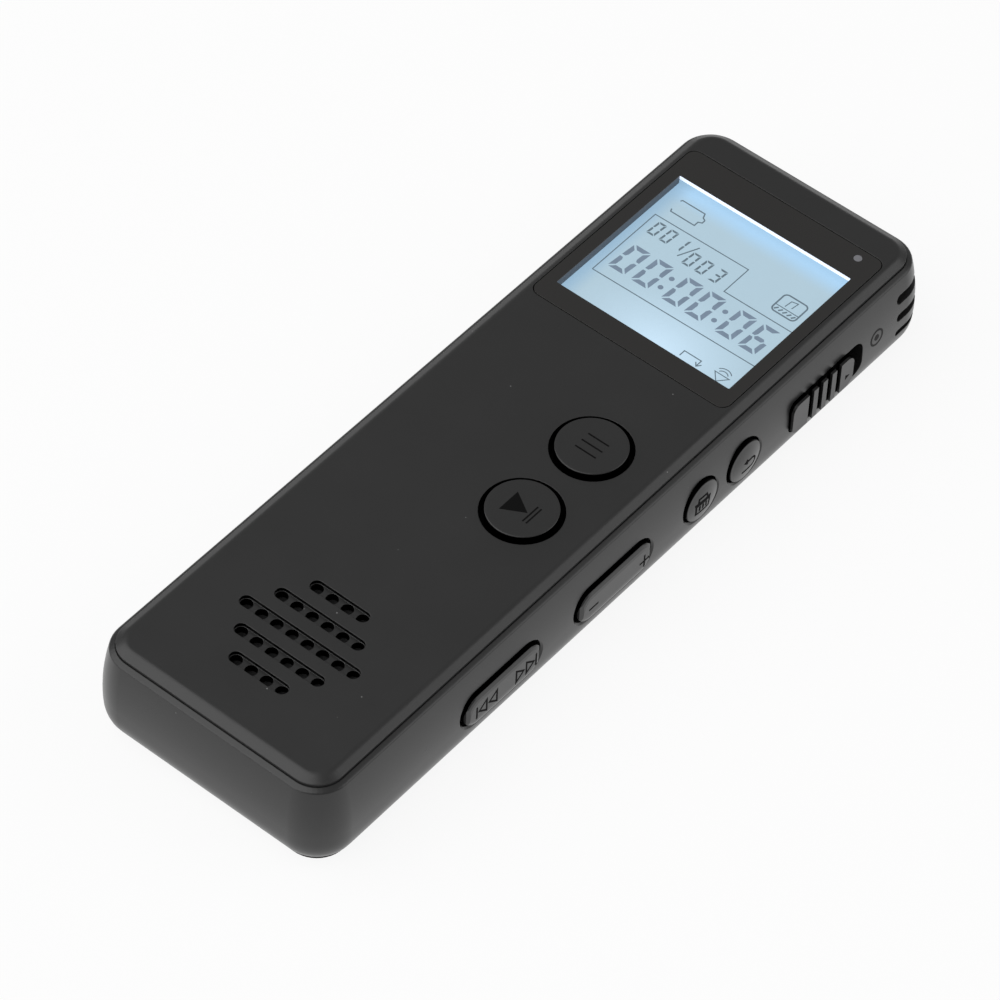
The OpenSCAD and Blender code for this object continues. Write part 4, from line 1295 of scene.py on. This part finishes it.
@dataclass
class Leads:
    """Insulated leads inside the casing, as round tubes along smooth routes."""

    radius: float = 0.35
    fine_radius: float = 0.22

    def build(self) -> None:
        """Builds the speaker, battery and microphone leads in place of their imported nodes."""
        speaker = [
            [[-5.2, -28.3, 8.3], [-5.6, -27.2, 8.3], [-6.0, -26.4, 9.05], [-6.2, -25.5, 8.95]],
            [[-7.0, -29.6, 8.3], [-7.6, -28.2, 8.3], [-8.2, -26.6, 9.0], [-8.4, -25.5, 8.95]],
        ]
        battery = [
            [[-6.0, 21.0, 4.2], [-6.0, 22.5, 4.2], [-5.8, 23.6, 4.8], [-5.6, 24.0, 6.0], [-5.6, 24.0, 7.38]],
            [[-4.0, 21.0, 4.2], [-4.0, 22.2, 4.2], [-3.8, 23.0, 4.7], [-3.6, 23.4, 5.8], [-3.6, 23.4, 7.38]],
        ]
        routes = {"speaker_leads": (speaker, (1, 0.2, 0)), "battery_leads": (battery, (1, 0, 0))}
        for node, (paths, aside) in routes.items():
            for path, colour in zip(paths, ("red", "black")):
                shell = tube(smooth_path(np.array(path)), self.radius, aside)
                piece = make_piece(f"{node}_{colour}", shell, f"lead_{colour}", "casing")
            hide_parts(node)
        ends = [[12.3, 0.7, 4.8], [11.7, 0.7, 4.8], [11.2, 0.3, 5.6], [11.1, 0.0, 7.33]]
        other = [[12.3, -0.7, 4.8], [11.7, -0.7, 4.8], [11.2, -1.1, 5.6], [11.1, -1.4, 7.33]]
        tubes = [
            tube(smooth_path(np.array(path) * [side, 1, 1] + [0, 47.3, 0]), self.fine_radius, (0, 1, 0))
            for path in (ends, other)
            for side in (-1, 1)
        ]
        leads = Shell.joined(tubes)
        make_piece("mic_leads_tubes", leads, "lead_yellow", "casing", ("mic_leads",))
        LOG.info("built the leads")


@dataclass
class Studio:
    """Floor, lamps and camera."""

    floor_half: float = 2500.0
    floor_z: float = -0.02
    floor_glow: float = 0.9
    sky_strength: float = 0.35
    distance: float = 560.6955
    target: Triple = (0.2356, -4.3837, 6.5)
    azimuth: float = 37.6823
    elevation: float = 48.9751
    roll: float = 2.7119
    lens: float = 183.2923
    lamps: tuple[tuple[str, Triple, Pair, float], ...] = (
        ("lamp_front", (-0.42, -0.52, 0.74), (1.5, 1.5), 10.6),
        ("lamp_far", (0.76, 0.6, 0.54), (0.9, 0.9), 3.3),
        ("lamp_near", (-0.4, -0.87, 0.29), (0.6, 0.2), 0.4),
    )

    def floor(self) -> None:
        """Builds the pale floor, which shows near white to the camera and keeps the recorder's shadow."""
        m = Maker("studio_floor")
        path = m.node("ShaderNodeLightPath")
        direct = Number(m, path["Is Camera Ray"]) + path["Is Glossy Ray"] + path["Is Transmission Ray"]
        seen = direct.at_most(1.0)
        paper = m.noise(0.02, 2.0)
        base = m.mix(paper, shade(236), shade(238))
        diffuse = m.node("ShaderNodeBsdfDiffuse", None, {"Color": base})[0]
        glow = m.node("ShaderNodeEmission", None, {"Color": (1, 1, 1, 1), "Strength": 1.0})[0]
        values = {0: seen * self.floor_glow, 1: diffuse, 2: glow}
        mesh = bpy.data.meshes.new("studio_floor")
        signs = np.array([[-1, -1], [1, -1], [1, 1], [-1, 1]])
        corners = np.c_[signs * self.floor_half, np.full(len(signs), self.floor_z)]
        mesh.from_pydata((corners * MM).tolist(), [], [(0, 1, 2, 3)])
        mesh.materials.append(m.done(m.node("ShaderNodeMixShader", None, values)[0]))
        floor = added("studio_floor", mesh)

    def lamp(self, name: str, place: Triple, size: Pair, watts: float) -> None:
        """Adds one soft rectangular lamp that faces the recorder.

        Args:
            name: the lamp's name.
            place: where it hangs, in metres.
            size: its width and height in metres.
            watts: its power.
        """
        light = bpy.data.lights.new(name, "AREA")
        light.shape, light.size, light.size_y, light.energy = "RECTANGLE", size[0], size[1], watts
        holder = added(name, light)
        holder.location = place
        holder.rotation_euler = (-Vector(place)).to_track_quat("-Z", "Y").to_euler()

    def sky(self) -> None:
        """Fills the room with even, dim light."""
        world = bpy.data.worlds.new("studio")
        world.use_nodes = True
        tree = world.node_tree
        tree.nodes.clear()
        back = tree.nodes.new("ShaderNodeBackground")
        out = tree.nodes.new("ShaderNodeOutputWorld")
        back.inputs["Strength"].default_value = self.sky_strength
        back.inputs["Color"].default_value = (1.0, 1.0, 1.0, 1.0)
        tree.links.new(back.outputs[0], out.inputs["Surface"])
        bpy.context.scene.world = world

    def camera(self) -> None:
        """Adds the camera: on a sphere round its target, turned about its own line of sight by the roll."""
        turn, lift, roll = (math.radians(v) for v in (self.azimuth, self.elevation, self.roll))
        towards = Vector((math.sin(turn) * math.cos(lift), -math.cos(turn) * math.cos(lift), math.sin(lift)))
        level = Vector((math.cos(turn), math.sin(turn), 0))
        upright = towards.cross(level)
        right = level * math.cos(roll) + upright * math.sin(roll)
        up = towards.cross(right)
        place = (Vector(self.target) + towards * self.distance) * MM
        lens = bpy.data.cameras.new("camera")
        lens.lens, lens.sensor_width, lens.clip_end = self.lens, 36.0, 50.0
        holder = added("camera", lens)
        axes = Matrix((right, up, towards)).transposed().to_4x4()
        holder.matrix_world = Matrix.Translation(place) @ axes
        bpy.context.scene.camera = holder

    def build(self) -> None:
        """Builds the floor, the sky, the lamps and the camera."""
        self.floor()
        self.sky()
        for lamp in self.lamps:
            self.lamp(*lamp)
        self.camera()
        bpy.context.scene.view_settings.view_transform = "Standard"
        LOG.info("built the studio")


def add_display_finishes() -> None:
    """Adds the finishes whose patterns need the display's own place."""
    low, _ = node_box("lcd_glass")
    lamp = (1.8, low[1] + 1.5)
    FINISHES["display_lit"] = LitDisplay(-12.3, 42.9, lamp)
    FINISHES["ink_strong"] = DisplayInk(shade(132, 150, 170))
    FINISHES["ink_thin"] = DisplayInk(shade(112, 130, 142))


def main() -> None:
    """Builds the recorder's looks."""
    logging.basicConfig(level=logging.INFO, format="%(name)s: %(message)s")
    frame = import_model()
    add_display_finishes()
    dress(frame["nodes"])
    FrameSkin().build(frame["nodes"])
    FrontKey("menu_button", "menu_key", "menu").build()
    FrontKey("play_button", "play_key", "play").build()
    SideKey("delete_button", "delete_key", "bin", (-0.2, 0.12)).build()
    SideKey("back_button", "back_key", "back", (-0.2, 0.05)).build()
    volume_at, skip_at = ((-3.94, -0.38), (4.85, -0.5)), ((-2.92, -0.3), (3.63, -0.3))
    RockerSigns("volume_rocker", "volume_key", "minus", "plus", *volume_at).build()
    RockerSigns("skip_rocker", "skip_key", "skip_back", "skip_on", *skip_at).build()
    RecordMarks().build()
    DisplayWell().build()
    DisplayMarks().build()
    Leads().build()
    Studio().build()


if __name__ == "__main__":
    main()
